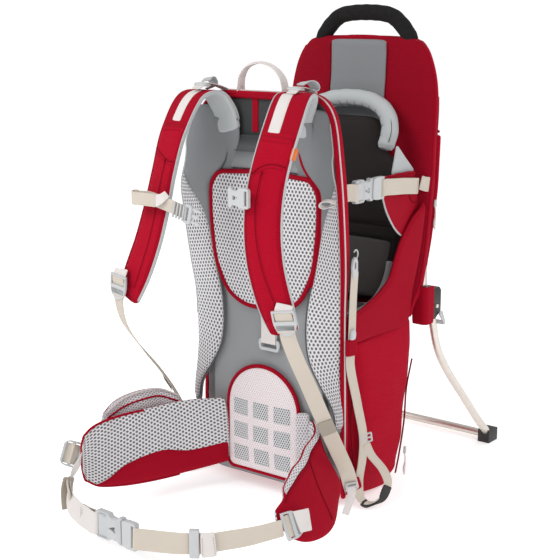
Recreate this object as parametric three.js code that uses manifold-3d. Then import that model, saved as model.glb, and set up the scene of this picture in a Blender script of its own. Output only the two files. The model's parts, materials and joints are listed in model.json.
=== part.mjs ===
// Framed child carrier backpack: bag on a bent-tube frame with a fold-out stand, a child seat,
// a height-adjustable shoulder yoke, a padded hip belt and two foot stirrups.
// Millimetres. +X is the wearer's right, +Y points away from the wearer, +Z is up.
// Points are written with Y = 0 at the wearer's back; the last lines move the middle of the
// flat base to the origin.
import * as THREE from 'three';
import { mergeVertices } from 'three/addons/utils/BufferGeometryUtils.js';
import Module from 'manifold-3d';

const wasm = await Module();
wasm.setup();

// ---------- driving dimensions ----------
const GAP = 0.3;                     // clearance between touching pieces
const BASE_FRONT_Y = 62;             // flat base of the bag, front and rear edges
const BASE_REAR_Y = 205;
const BASE_MIDDLE_Y = 130;           // becomes the origin
const SHELL_REAR_Y = 45;             // rear plane of the back board
const BOARD_FRONT_Y = 22;            // front face of the back board
const BOARD_HALF_WIDTH = 127;
const BAG_HALF_WIDTH = 165;
const BAG_TOP_Z = 311;
const SIDE_WALL = 5;                 // side wall thickness
const FRAME_TUBE_R = 10;
const GRIP_R = 15;
const STAND_TUBE_R = 8;
const PIVOT_Y = 325;                 // fold axis of the stand, along X
const PIVOT_Z = 325;
const HOUSING_X = 160;               // middle of each hinge housing
const HIP_WEBBING = 38;
const STRAP_WIDTH = 70;
const STRAP_THICKNESS = 13;
const LOWER_WEBBING = 28;
const WING_WEBBING = 30;
const STERNUM_WEBBING = 24;
const STIRRUP_WEBBING = 20;
const WEBBING_THICKNESS = 2;

const SIDES = [['left', -1], ['right', 1]];

// ---------- materials ----------
const finish = (color, roughness, metalness = 0) =>
  new THREE.MeshStandardMaterial({ color, roughness, metalness });
const red = finish(0xb3102a, 0.75);
const grey = finish(0x85898b, 0.8);
const darkGrey = finish(0x4f4b48, 0.85);
const mesh = finish(0xc3c6c9, 0.9);
const cream = finish(0xd6cdbf, 0.8);
const plastic = finish(0xc5c8ca, 0.45);
const black = finish(0x1b1b1c, 0.6);
const foam = finish(0x232221, 0.9);
const aluminium = finish(0xb9aea2, 0.35, 0.9);

// ---------- helpers ----------
const at = (x, y, z) => new THREE.Vector3(x, y, z);
const points = (list) => list.map(([x, y, z]) => at(x, y, z));
const mirrored = (list) => list.map((p) => at(-p.x, p.y, p.z));
const sideways = (list, sign) => list.map(([x, y, z]) => at(sign * x, y, z));

function curve(list) {
  return new THREE.CatmullRomCurve3(list, false, 'centripetal');
}

// Straight-line interpolation in a table of [key, value, value...] rows, sorted by key.
function lookUp(table, key) {
  let i = 1;
  while (i < table.length - 1 && table[i][0] < key) i += 1;
  const [low, high] = [table[i - 1], table[i]];
  const t = THREE.MathUtils.clamp((key - low[0]) / (high[0] - low[0]), 0, 1);
  return low.slice(1).map((value, k) => value + t * (high[k + 1] - value));
}

// Closed body through rings of equal length, with a fan over each end ring.
function loft(rings) {
  const count = rings[0].length;
  const positions = rings.flat().flatMap((p) => [p.x, p.y, p.z]);
  const faces = [];
  for (let r = 0; r + 1 < rings.length; r += 1) {
    for (let k = 0; k < count; k += 1) {
      const a = r * count + k;
      const b = r * count + ((k + 1) % count);
      faces.push(a, b, b + count, a, b + count, a + count);
    }
  }
  for (const [ring, forward] of [[0, false], [rings.length - 1, true]]) {
    const middle = rings[ring].reduce((sum, p) => sum.add(p), at(0, 0, 0)).divideScalar(count);
    const centre = positions.length / 3;
    positions.push(middle.x, middle.y, middle.z);
    for (let k = 0; k < count; k += 1) {
      const a = ring * count + k;
      const b = ring * count + ((k + 1) % count);
      faces.push(...(forward ? [a, b, centre] : [b, a, centre]));
    }
  }
  const geometry = new THREE.BufferGeometry();
  geometry.setAttribute('position', new THREE.Float32BufferAttribute(positions, 3));
  geometry.setIndex(faces);
  if (volume(geometry) < 0) flip(geometry);
  return geometry;
}

function volume(geometry) {
  const p = geometry.getAttribute('position');
  const index = geometry.getIndex();
  const corner = (i) => at(p.getX(index.getX(i)), p.getY(index.getX(i)), p.getZ(index.getX(i)));
  let sum = 0;
  for (let i = 0; i < index.count; i += 3) sum += corner(i).dot(corner(i + 1).cross(corner(i + 2)));
  return sum / 6;
}

function flip(geometry) {
  const index = geometry.getIndex();
  for (let i = 0; i < index.count; i += 3) {
    const keep = index.getX(i + 1);
    index.setX(i + 1, index.getX(i + 2));
    index.setX(i + 2, keep);
  }
}

// Soft eight-point section about middle, w across and n through, with rounded edges.
const SOFT_SECTION = [
  [-1, -0.45], [-0.88, -1], [0.88, -1], [1, -0.45], [1, 0.45], [0.88, 1], [-0.88, 1], [-1, 0.45],
];
const FLAT_SECTION = [[-1, -1], [1, -1], [1, 1], [-1, 1]];

function sectionRing(middle, across, through, section) {
  return section.map(([a, b]) => middle.clone().addScaledVector(across, a).addScaledVector(through, b));
}

// Band of the given width and thickness along a path; acrossAt(t) gives its width direction.
function band(path, width, thickness, acrossAt, steps, section = SOFT_SECTION) {
  const line = curve(path);
  const rings = [];
  for (let i = 0; i <= steps; i += 1) {
    const t = i / steps;
    const tangent = line.getTangentAt(t);
    const across = acrossAt(t).clone();
    across.addScaledVector(tangent, -across.dot(tangent)).normalize();
    const through = new THREE.Vector3().crossVectors(tangent, across);
    const half = typeof width === 'function' ? width(t) / 2 : width / 2;
    rings.push(sectionRing(
      line.getPointAt(t), across.multiplyScalar(half), through.multiplyScalar(thickness / 2), section));
  }
  return loft(rings);
}

const webbing = (path, width, acrossAt, steps) =>
  band(path, width, WEBBING_THICKNESS, acrossAt, steps, FLAT_SECTION);

// Turns steadily through two or more width directions along a band.
const turning = (...keys) => (t) => {
  const place = t * (keys.length - 1);
  const i = Math.min(Math.floor(place), keys.length - 2);
  return keys[i].clone().lerp(keys[i + 1], place - i).normalize();
};

// Padded wing through stations of [top point, bottom point, thickness].
function wing(stations) {
  const middles = stations.map(([top, bottom]) => top.clone().lerp(bottom, 0.5));
  return loft(stations.map(([top, bottom, thickness], i) => {
    const before = middles[Math.max(i - 1, 0)];
    const after = middles[Math.min(i + 1, middles.length - 1)];
    const across = top.clone().sub(bottom).multiplyScalar(0.5);
    const through = new THREE.Vector3().crossVectors(after.clone().sub(before), across)
      .setLength(thickness / 2);
    return sectionRing(middles[i], across, through, SOFT_SECTION);
  }));
}

function roundTube(path, radius, steps, sides = 12) {
  const circle = new THREE.Shape();
  circle.absarc(0, 0, radius, 0, 2 * Math.PI);
  return new THREE.ExtrudeGeometry(circle, {
    steps, curveSegments: sides / 2, bevelEnabled: false, extrudePath: curve(path),
  });
}

// Flat plate: an outline of [u, v] corners given thickness, with optional holes.
function plate(outline, thickness, holes = []) {
  const shape = new THREE.Shape(outline.map(([u, v]) => new THREE.Vector2(u, v)));
  for (const hole of holes) {
    shape.holes.push(new THREE.Path(hole.map(([u, v]) => new THREE.Vector2(u, v))));
  }
  return new THREE.ExtrudeGeometry(shape, { depth: thickness, bevelEnabled: false });
}

const rectangle = (u0, v0, u1, v1) => [[u0, v0], [u1, v0], [u1, v1], [u0, v1]];

// A plate in the YZ plane (outline of [y, z]) from x0 to x1.
function sidePlate(outline, x0, x1, holes = []) {
  const axes = new THREE.Matrix4().makeBasis(at(0, 1, 0), at(0, 0, 1), at(1, 0, 0));
  axes.setPosition(x0, 0, 0);
  return plate(outline, x1 - x0, holes).applyMatrix4(axes);
}

// A plate in the XZ plane (outline of [x, z]) from y0 to y1.
function frontPlate(outline, y0, y1) {
  const axes = new THREE.Matrix4().makeBasis(at(1, 0, 0), at(0, 0, 1), at(0, -1, 0));
  axes.setPosition(0, y1, 0);
  return plate(outline, y1 - y0).applyMatrix4(axes);
}

function box(x0, y0, z0, x1, y1, z1) {
  return new THREE.BoxGeometry(x1 - x0, y1 - y0, z1 - z0)
    .translate((x0 + x1) / 2, (y0 + y1) / 2, (z0 + z1) / 2);
}

function solid(geometry) {
  const bare = geometry.clone();
  bare.deleteAttribute('normal');
  bare.deleteAttribute('uv');
  const merged = mergeVertices(bare, 1e-4);
  return new wasm.Manifold(new wasm.Mesh({
    numProp: 3,
    vertProperties: merged.getAttribute('position').array,
    triVerts: new Uint32Array(merged.getIndex().array),
  }));
}

function surface(manifold) {
  const result = manifold.getMesh();
  const geometry = new THREE.BufferGeometry();
  geometry.setAttribute('position', new THREE.Float32BufferAttribute(result.vertProperties, 3));
  geometry.setIndex([...result.triVerts]);
  return geometry;
}

const cut = (base, ...tools) =>
  surface(tools.reduce((left, tool) => left.subtract(solid(tool)), solid(base)));
const join = (base, ...others) =>
  surface(others.reduce((sum, other) => sum.add(solid(other)), solid(base)));

// Local X is the width, local Y runs along, local Z points out of the face.
function placed(geometry, origin, across, along) {
  const x = across.clone().normalize();
  const y = along.clone().addScaledVector(x, -along.dot(x)).normalize();
  const z = new THREE.Vector3().crossVectors(x, y);
  return geometry.applyMatrix4(new THREE.Matrix4().makeBasis(x, y, z).setPosition(origin));
}

const carrier = new THREE.Group();

function add(name, geometry, material) {
  const node = new THREE.Mesh(geometry, material);
  node.name = name;
  carrier.add(node);
}

// ---------- frame tube and handle ----------
const frameSide = points([
  [HOUSING_X, 297, 363.2], [159, 301, 410], [157, 306, 460], [155, 312, 560], [151, 321, 700],
  [138, 328, 775], [116, 330, 808], [97, 330, 833], [80, 330, 853], [54, 330, 870],
]);
const framePath = [...frameSide, ...mirrored(frameSide).reverse()];
const gripSide = frameSide.slice(6);
const gripPath = [...gripSide, ...mirrored(gripSide).reverse()];

add('main_frame_tube', roundTube(framePath, FRAME_TUBE_R, 56), aluminium);
add('handle_grip', cut(roundTube(gripPath, GRIP_R, 30), roundTube(framePath, FRAME_TUBE_R + GAP, 56)), foam);

// ---------- rear panel ----------
// [height, front Y, rear Y] of the padded rear panel, and its half-width [height, half-width].
const REAR_DEPTH = [
  [300, 238, 264], [350, 250, 281], [362, 255, 283.5], [368, 258, 305], [400, 268, 311], [453, 281, 319],
  [547, 294, 333], [600, 300, 335], [700, 308, 336], [755, 313, 337], [830, 320, 338],
];
const REAR_WIDTH = [
  [300, 158], [360, 163], [600, 166], [700, 168], [745, 164], [775, 155], [800, 140], [818, 124], [830, 110],
];
const REAR_LEVELS = [312, 350, 362, 368, 400, 453, 547, 600, 700, 745, 775, 800, 818, 830];

function rearRing(z) {
  const [front, rear] = lookUp(REAR_DEPTH, z);
  const [half] = lookUp(REAR_WIDTH, z);
  const middle = at(0, (front + rear) / 2, z);
  return sectionRing(middle, at(half, 0, 0), at(0, (rear - front) / 2, 0), SOFT_SECTION);
}

add('rear_panel', cut(
  loft(REAR_LEVELS.map(rearRing)),
  roundTube(framePath, FRAME_TUBE_R + GAP, 56),
  roundTube(gripPath, GRIP_R + GAP, 30)), red);

// ---------- cargo bag and side walls ----------
const cargoOutline = [
  [SHELL_REAR_Y + GAP, 30], [BASE_FRONT_Y, 0], [BASE_REAR_Y, 0], [223, 35], [236, 68], [248, 118],
  [262, 170], [275, 215], [278, 246], [272, 285], [265, BAG_TOP_Z], [SHELL_REAR_Y + GAP, BAG_TOP_Z],
];
add('cargo_bag', sidePlate(cargoOutline, -BAG_HALF_WIDTH, BAG_HALF_WIDTH), red);

// Low wall beside the seat, its rim rising from the leg opening to the rear panel.
const sideWallOutline = [
  [SHELL_REAR_Y + GAP, BAG_TOP_Z + GAP], [237, BAG_TOP_Z + GAP], [249, 350], [280, 453], [289, 515],
  [283, 522], [250, 503], [215, 468], [195, 435], [178, 404], [150, 384], [100, 364],
  [SHELL_REAR_Y + GAP, 350],
];
for (const [side, sign] of SIDES) {
  const [x0, x1] = [BAG_HALF_WIDTH - SIDE_WALL, BAG_HALF_WIDTH].map((x) => sign * x).sort((a, b) => a - b);
  add(`side_wall_${side}`, cut(
    sidePlate(sideWallOutline, x0, x1), loft([310, 350, 362, 368, 400, 453, 547].map((z) => {
      const [front, rear] = lookUp(REAR_DEPTH, z);
      return sectionRing(at(0, (front + rear) / 2 - GAP, z), at(180, 0, 0), at(0, (rear - front) / 2, 0),
        FLAT_SECTION);
    }))), red);
}

// ---------- front shell ----------
// [height, half-width, front Y, rear Y] of the outer front edge.
const EDGE = [
  [20, 165, 36, 45], [50, 165, 35, 45], [150, 168, 30, 45], [250, 165, 33, 45], [350, 163, 34, 45],
  [450, 172, 20, 38], [560, 176, 5, 26], [620, 170, 5, 26], [700, 150, 15, 34],
];
const TRIM_THICKNESS = 8;
const edgeAt = (z) => lookUp(EDGE, z);

add('back_board', frontPlate([
  [-BOARD_HALF_WIDTH, 24], [BOARD_HALF_WIDTH, 24], [BOARD_HALF_WIDTH, 690], [112, 718], [95, 729],
  [-95, 729], [-112, 718], [-BOARD_HALF_WIDTH, 690],
], BOARD_FRONT_Y, SHELL_REAR_Y), grey);

const LOBE_LEVELS = [24, 50, 150, 250, 350, 450, 560, 620, 680];
for (const [side, sign] of SIDES) {
  const ring = (z) => {
    const [half, front, rear] = edgeAt(z);
    return [
      at(sign * (BOARD_HALF_WIDTH + GAP), BOARD_FRONT_Y, z),
      at(sign * (half - TRIM_THICKNESS - GAP), front + 2, z),
      at(sign * (half - TRIM_THICKNESS - GAP), rear, z),
      at(sign * (BOARD_HALF_WIDTH + GAP), SHELL_REAR_Y, z),
    ];
  };
  add(`side_lobe_${side}`, loft(LOBE_LEVELS.map(ring)), mesh);
}

// Edge trim: one band up the right side, over the top and down the left side.
const trimSide = EDGE.map(([z, half, front, rear]) => [at(half - TRIM_THICKNESS / 2, 0, z), front, rear]);
trimSide.push([at(128, 0, 724), 17, 38], [at(100, 0, 735), 19, SHELL_REAR_Y]);
const trimLine = [...trimSide, ...trimSide.map(([p, ...depth]) => [at(-p.x, 0, p.z), ...depth]).reverse()];
add('edge_trim', loft(trimLine.map(([p, front, rear], i) => {
  const before = trimLine[Math.max(i - 1, 0)][0];
  const after = trimLine[Math.min(i + 1, trimLine.length - 1)][0];
  const outward = new THREE.Vector3().crossVectors(after.clone().sub(before), at(0, 1, 0))
    .setLength(TRIM_THICKNESS / 2);
  const middle = at(p.x, (front + rear) / 2, p.z);
  return sectionRing(middle, outward, at(0, (rear - front) / 2, 0), FLAT_SECTION);
})), red);

// ---------- lumbar pad ----------
const PAD_REAR_Y = BOARD_FRONT_Y - GAP;
const LUMBAR_FRONT_Y = 8;
const LUMBAR_HALF_WIDTH = 80;
const lumbarOutline = [[-72, 40], [72, 40], [LUMBAR_HALF_WIDTH, 48]];
for (let i = 0; i <= 10; i += 1) {
  const angle = (Math.PI * i) / 10;
  lumbarOutline.push([LUMBAR_HALF_WIDTH * Math.cos(angle), 164 + LUMBAR_HALF_WIDTH * Math.sin(angle)]);
}
lumbarOutline.push([-LUMBAR_HALF_WIDTH, 48]);
add('lumbar_pad', frontPlate(lumbarOutline, LUMBAR_FRONT_Y, PAD_REAR_Y), mesh);

// ---------- hip wings ----------
const leftWing = [
  [at(-87, 10, 170), at(-87, 8, 44), 16], [at(-128, -48, 172), at(-124, -52, 34), 20],
  [at(-156, -125, 170), at(-150, -125, 32), 20], [at(-174, -192, 167), at(-168, -190, 42), 18],
  [at(-183, -242, 155), at(-180, -238, 64), 13], [at(-186, -262, 130), at(-186, -260, 90), 8],
];
const rightWing = [
  [at(101, 9, 178), at(136, 12, 66), 16], [at(128, -20, 163), at(184, -12, 58), 18],
  [at(148, -60, 150), at(208, -50, 36), 18], [at(163, -97, 138), at(228, -94, 18), 18],
  [at(175, -135, 122), at(232, -132, 18), 16], [at(183, -170, 105), at(227, -174, 32), 13],
  [at(188, -194, 86), at(206, -195, 60), 8],
];
add('hip_wing_left', wing(leftWing), mesh);
add('hip_wing_right', wing(rightWing), mesh);
add('hip_pocket_left', wing([
  [at(-150, -52, 176), at(-146, -54, 74), 10], [at(-178, -78, 192), at(-172, -80, 62), 26],
  [at(-190, -120, 194), at(-184, -120, 60), 32], [at(-200, -165, 184), at(-192, -165, 66), 26],
  [at(-196, -205, 168), at(-190, -205, 86), 10],
]), mesh);

// ---------- hip belt ----------
const up = at(0, 0, 1);
const HIP_BUCKLE = at(-10, -342, 40.5);         // mouth of the socket half
const HIP_SOCKET_LENGTH = 66;
const HIP_PRONG_BASE = 32;
const intoSocket = at(-0.995, 0.05, 0).normalize();
const hipLeftPath = points([
  [-186, -273, 104], [-186, -292, 82], [-178, -307, 62], [-158, -322, 49], [-128, -333, 43],
  [-104, -338, 41],
]);
const hipRightPath = points([
  [54, -335, 40], [74, -327, 40.5], [96.6, -317.6, 41.4], [104.8, -311.8, 41.7], [113, -306, 42],
  [121.2, -300.2, 42.3], [129.4, -294.4, 42.6], [150, -275, 46], [184, -244, 53], [211, -214, 61],
]);
add('hip_webbing_left', webbing(hipLeftPath, HIP_WEBBING, turning(at(-0.1, 0.5, 0.86), up), 14), cream);
add('hip_webbing_right', webbing(hipRightPath, HIP_WEBBING, turning(up, at(0.35, 0.3, 0.9)), 16), cream);

// Socket half of a side-release buckle: a sleeve open toward -Y, with side windows and a bar slot.
function buckleSocket(webbingWidth, length, thickness) {
  const half = webbingWidth / 2 + 5;
  const [window0, window1] = [0.2 * length, 0.45 * length];
  return cut(
    box(-half, 0, -thickness / 2, half, length, thickness / 2),
    box(-half + 3, -1, -thickness / 2 + 2, half - 3, length - 12, thickness / 2 - 2),
    box(-half - 1, window0, -thickness / 2 + 1.5, -half + 6, window1, thickness / 2 - 1.5),
    box(half - 6, window0, -thickness / 2 + 1.5, half + 1, window1, thickness / 2 - 1.5),
    box(-webbingWidth / 2, length - 8, -thickness, webbingWidth / 2, length - 4, thickness));
}

// Prong half: a base with a bar slot and three prongs that reach into the socket.
function buckleProngs(webbingWidth, reach, thickness, base) {
  const half = webbingWidth / 2 + 5;
  const prong = thickness / 2 - 2.6;
  return cut(
    join(
      box(-half, -base, -thickness / 2, half, -0.4, thickness / 2),
      box(-half + 3.6, -1, -prong, -half + 9, reach, prong),
      box(half - 9, -1, -prong, half - 3.6, reach, prong),
      box(-3, -1, -prong, 3, reach - 6, prong)),
    box(-webbingWidth / 2, 4 - base, -thickness, webbingWidth / 2, 9 - base, thickness));
}

const HIP_BUCKLE_THICKNESS = 12;
add('hip_buckle_socket', placed(
  buckleSocket(HIP_WEBBING, HIP_SOCKET_LENGTH, HIP_BUCKLE_THICKNESS),
  HIP_BUCKLE, up, intoSocket), plastic);
add('hip_buckle_prongs', placed(
  buckleProngs(HIP_WEBBING, 26, HIP_BUCKLE_THICKNESS, HIP_PRONG_BASE),
  HIP_BUCKLE, up, intoSocket), plastic);

// Ladder-lock: a frame with two webbing slots either side of a bar.
function ladderLock(webbingWidth, length, thickness) {
  const half = webbingWidth / 2 + 4;
  const slot = webbingWidth / 2 + 0.6;
  const bar = length / 2;
  return plate([
    [-half, 0], [half, 0], [half, length * 0.7], [half - 5, length], [-half + 5, length],
    [-half, length * 0.7],
  ], thickness, [
    rectangle(-slot, 4, slot, bar - 3).reverse(),
    rectangle(-slot, bar + 2, slot, length - 5).reverse(),
  ]).translate(0, 0, -thickness / 2);
}

add('hip_lock_left', placed(
  ladderLock(HIP_WEBBING, 34, 5),
  at(-192, -265, 109), at(-0.1, 0.5, 0.86), at(-0.2, -0.7, -0.4)), plastic);
add('hip_lock_right', placed(
  ladderLock(HIP_WEBBING, 36, 5),
  at(219, -207, 64), at(-0.45, 0.1, 0.88), at(0.22, 0.97, 0.02)), plastic);
add('hip_slider', placed(
  cut(box(-24, -8, -4.8, 24, 8, 4.8), box(-20.5, -9, -3.2, 20.5, 9, 3.2)),
  at(113, -306, 42), up, at(0.82, 0.58, 0.03)), plastic);

// ---------- mid back pad, shoulder straps and yoke ----------
const MID_PAD_FRONT_Y = 9;
const midPadOutline = [
  [-40, 352], [40, 352], [78, 372], [103, 410], [118, 470], [124, 530], [122, 572], [106, 592], [60, 600],
  [-60, 600], [-106, 592], [-122, 572], [-124, 530], [-118, 470], [-103, 410], [-78, 372],
];
add('mid_back_pad', frontPlate(midPadOutline, MID_PAD_FRONT_Y, PAD_REAR_Y), mesh);
add('yoke_panel', frontPlate(
  [[-92, 603], [92, 603], [92, 664], [-92, 664]], MID_PAD_FRONT_Y + 6, PAD_REAR_Y), grey);
const ringOutline = [[-24.5, 0], [-20, -15], [20, -15], [24.5, 0], [20, 7], [-20, 7]];
add('back_length_ring', placed(
  plate(ringOutline, 4, [rectangle(-17.6, -8, 17.6, -1.5).reverse()]),
  at(14, 12.5, 291), at(1, 0, 0), at(0, 0, 1)), plastic);

const strapPaths = {
  right: points([
    [76, 13, 670], [84, 8, 708], [97, -8, 735], [108, -40, 737], [112, -75, 690], [112, -112, 610],
    [113, -127, 540], [116, -124, 470], [124, -108, 400], [134, -96, 354],
  ]),
  left: points([
    [-76, 13, 670], [-86, 8, 708], [-100, -8, 733], [-116, -38, 731], [-128, -72, 676], [-124, -108, 600],
    [-124, -128, 540], [-137, -138, 480], [-158, -144, 425], [-178, -148, 380],
  ]),
};
const strapAcross = {
  right: turning(at(1, 0, 0), at(0.98, 0.2, 0), at(0.95, 0.3, 0.1)),
  left: turning(at(1, 0, 0), at(0.97, -0.24, 0), at(0.92, -0.1, -0.33)),
};
// Narrower where a strap leaves the yoke and where it ends in its ladder-lock.
const STRAP_TOP_WIDTH = 52;
const STRAP_END_WIDTH = 56;
const STRAP_TAPER = 0.2;
function strapWidth(t) {
  const fromTop = Math.min(t / STRAP_TAPER, 1);
  const fromEnd = Math.min((1 - t) / STRAP_TAPER, 1);
  return Math.min(
    STRAP_TOP_WIDTH + (STRAP_WIDTH - STRAP_TOP_WIDTH) * fromTop,
    STRAP_END_WIDTH + (STRAP_WIDTH - STRAP_END_WIDTH) * fromEnd);
}
for (const [side] of SIDES) {
  add(`shoulder_strap_${side}`,
    band(strapPaths[side], strapWidth, STRAP_THICKNESS, strapAcross[side], 26), red);
}

// Ladder-locks over the strap ends, and the webbing from them down to the corners of the bag.
const STRAP_LOCK_LENGTH = 44;
const strapEnds = {
  right: { lock: at(148, -121, 396), down: at(0.08, 0.22, -1), across: at(0.96, 0.26, 0.13) },
  left: { lock: at(-187, -163, 420), down: at(-0.08, 0.02, -1), across: at(0.96, -0.1, -0.1) },
};
const lowerPaths = {
  right: points([
    [152, -110, 348], [159, -94, 305], [166, -74, 262], [173, -46, 204], [180, -12, 138], [182, 20, 83],
    [180, 42, 38],
  ]),
  left: points([
    [-191, -161, 372], [-190, -150, 330], [-184, -116, 280], [-178, -66, 220], [-173, -26, 160],
    [-172, 4, 100], [-171, 26, 48],
  ]),
};
for (const [side, sign] of SIDES) {
  const { lock, down, across } = strapEnds[side];
  const acrossAtCorner = at(0.55, 0.8 * sign, 0.3 * sign);
  add(`strap_lock_${side}`,
    placed(ladderLock(LOWER_WEBBING + 6, STRAP_LOCK_LENGTH, 5), lock, across, down), plastic);
  add(`lower_webbing_${side}`,
    webbing(lowerPaths[side], LOWER_WEBBING, turning(across, acrossAtCorner), 16), cream);
  add(`load_lifter_lock_${side}`, placed(
    ladderLock(20, 20, 4), at(sign * 104, -36, 751), at(1, 0, 0), at(0, 1, -0.06)), plastic);
}

// ---------- grab loop ----------
const LOOP_WEBBING = 20;
const loopSide = points([[66, 31, 745], [60, 29, 764], [40, 26, 781], [0, 25, 789]]);
add('grab_loop', webbing(
  [...loopSide, ...mirrored(loopSide.slice(0, 3)).reverse()], LOOP_WEBBING, () => at(0, 1, 0), 16), cream);

// ---------- sternum strap ----------
add('sternum_socket', placed(
  buckleSocket(STERNUM_WEBBING, 30, 8), at(58, -148, 580), up, at(1, 0.03, 0.1)), plastic);
add('sternum_webbing_left', webbing(points([
  [-150, -145, 560], [-120, -150, 562], [-82, -152, 556], [-42, -150.5, 546],
]), STERNUM_WEBBING, () => up, 8), cream);
add('sternum_prongs', placed(
  buckleProngs(STERNUM_WEBBING, 20, 8, 16),
  at(-22, -150, 541), at(0.22, 0, 0.97), at(0.97, 0, -0.22)), plastic);

// ---------- child seat ----------
const seatBackTable = [
  [330, 112], [350, 118], [450, 128], [575, 130], [600, 108], [615, 79], [665, 72], [677, 60],
];
const SEAT_BACK_THICKNESS = 30;
add('seat_back_pad', loft([346, 400, 450, 547, 575, 600, 615, 665, 677].map((z) => {
  const rear = lookUp(REAR_DEPTH, z)[0] - 1;
  const [half] = lookUp(seatBackTable, z);
  return sectionRing(at(0, rear - SEAT_BACK_THICKNESS / 2, z), at(half, 0, 0),
    at(0, SEAT_BACK_THICKNESS / 2, 0), SOFT_SECTION);
})), darkGrey);
add('seat_pad', sidePlate([[84, 312], [214, 312], [211, 343], [96, 343], [84, 336]], -116, 116), grey);
const COLLAR_R = 17;
const collarSide = points([
  [99, 252, 626], [101, 265, 664], [86, 274, 692], [51, 283, 710], [0, 286, 716],
]);
add('headrest_collar', roundTube(
  [...collarSide, ...mirrored(collarSide.slice(0, 4)).reverse()], COLLAR_R, 26), grey);

// ---------- side wings with their buckles ----------
const WING_SOCKET_LENGTH = 54;
const WING_BUCKLE = { x: 172.5, y: 100, z: 575 };  // mouth of the socket half
// [x, top y, top z, bottom y, bottom z, thickness] from the rear panel forward.
const FLAP = [
  [148, 291, 592, 279, 478, 5], [153, 240, 600, 245, 470, 6], [160, 190, 604, 205, 496, 6],
  [163, 152, 600, 165, 520, 6], [164, 130, 588, 138, 545, 5],
];
for (const [side, sign] of SIDES) {
  const mouth = at(sign * WING_BUCKLE.x, WING_BUCKLE.y, WING_BUCKLE.z);
  const wingUp = at(0, 0, sign);
  const forward = at(0, -1, 0);
  add(`side_flap_${side}`, wing(FLAP.map(([x, topY, topZ, bottomY, bottomZ, thickness]) => [
    at(sign * x, topY, topZ), at(sign * x, bottomY, bottomZ), thickness,
  ])), red);
  add(`wing_socket_${side}`,
    placed(buckleSocket(WING_WEBBING, WING_SOCKET_LENGTH, 10), mouth, wingUp, forward), plastic);
  add(`wing_prongs_${side}`,
    placed(buckleProngs(WING_WEBBING, 24, 10, 34), mouth, wingUp, forward), plastic);
}

// ---------- foot stirrups ----------
const HOOK_X = 180;
for (const [side, sign] of SIDES) {
  add(`stirrup_hook_${side}`, sidePlate(
    [[34, 428], [44, 428], [48, 440], [48, 458], [42, 466], [35, 462], [32, 448]],
    ...[HOOK_X - 3, HOOK_X + 2].map((x) => sign * x).sort((a, b) => a - b),
    [[[38, 444], [43, 444], [43, 456], [38, 456]].reverse()]), plastic);
  const loopPath = sideways([
    [172, 42, 270], [176, 60, 195], [180, 74, 130], [184, 66, 92], [183, 58, 50], [186, 62, 18],
    [196, 74, 10], [208, 92, 16], [214, 106, 40], [208, 100, 66], [190, 84, 98],
  ], sign);
  add(`stirrup_loop_${side}`,
    webbing(loopPath, STIRRUP_WEBBING, () => at(0.35 * sign, 0.9, 0.1), 26), cream);
}

// ---------- stand ----------
const standSide = points([
  [161, 321, 336], [161, 331, 303], [164, 350, 236], [169, 376, 190], [178, 440, 112],
  [185, 490, 52], [187, 520, 22], [180, 532, 12], [160, 536, 10], [140, 537, 10], [0, 538, 10],
]);
const standPath = [...standSide, ...mirrored(standSide.slice(0, -1)).reverse()];
const PIN_R = 4;
const pivotRod = (radius, length) => placed(
  new THREE.CylinderGeometry(radius, radius, length, 16), at(0, PIVOT_Y, PIVOT_Z), at(0, 1, 0), at(1, 0, 0));
add('stand_tube', cut(roundTube(standPath, STAND_TUBE_R, 64), pivotRod(PIN_R + GAP, 500)), aluminium);
const leverOutline = [
  [333, 306], [346.8, 290], [346.8, 284], [354, 284], [354, 290], [343, 312], [333, 312],
];
for (const [side, sign] of SIDES) {
  const [inner, outer] = [HOUSING_X - 13, HOUSING_X + 15];
  const [x0, x1] = [inner, outer].map((x) => sign * x).sort((a, b) => a - b);
  // The housing is open at the back and underneath, where the stand tube leaves it.
  add(`hinge_housing_${side}`, cut(
    sidePlate([[284, 300], [322, 300], [342, 312], [342, 354], [336, 361], [284, 361]], x0, x1),
    box(x0 + 4, 304, 290, x1 - 4, 350, 342), pivotRod(PIN_R + GAP, 500)), black);
  add(`hinge_pin_${side}`, pivotRod(PIN_R, 34).translate(sign * (HOUSING_X + 1), 0, 0), aluminium);
  // Release lever: two cheeks outside the housing and a bridge behind the stand tube.
  add(`stand_lock_${side}`, cut(
    sidePlate(leverOutline, x0 - 4, x1 + 4),
    box(x0 - 0.5, 320, 291.5, x1 + 0.5, 360, 320)), plastic);
  const [foot0, foot1] = [172, 198].map((x) => sign * x).sort((a, b) => a - b);
  add(`stand_foot_${side}`, cut(
    box(foot0, 512, 0, foot1, 548, 26),
    roundTube(standPath, STAND_TUBE_R + GAP, 64)), black);
}

// ---------- zip pullers ----------
const pullers = { upper: [BAG_HALF_WIDTH + 2, 322, 510], lower: [BAG_HALF_WIDTH + 1.5, 234, 46] };
for (const [name, [x, y, z]] of Object.entries(pullers)) {
  add(`zip_puller_${name}`, box(x, y - 3, z - 38, x + 2.5, y + 3, z + 9), cream);
}

carrier.position.y = -BASE_MIDDLE_Y;

export default carrier;
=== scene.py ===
"""Looks of the child carrier backpack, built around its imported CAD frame.

Lengths in this file are millimetres with Y = 0 at the wearer's back, as the part is designed;
metres() moves them to the row frame.
"""
import json
import math

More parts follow.
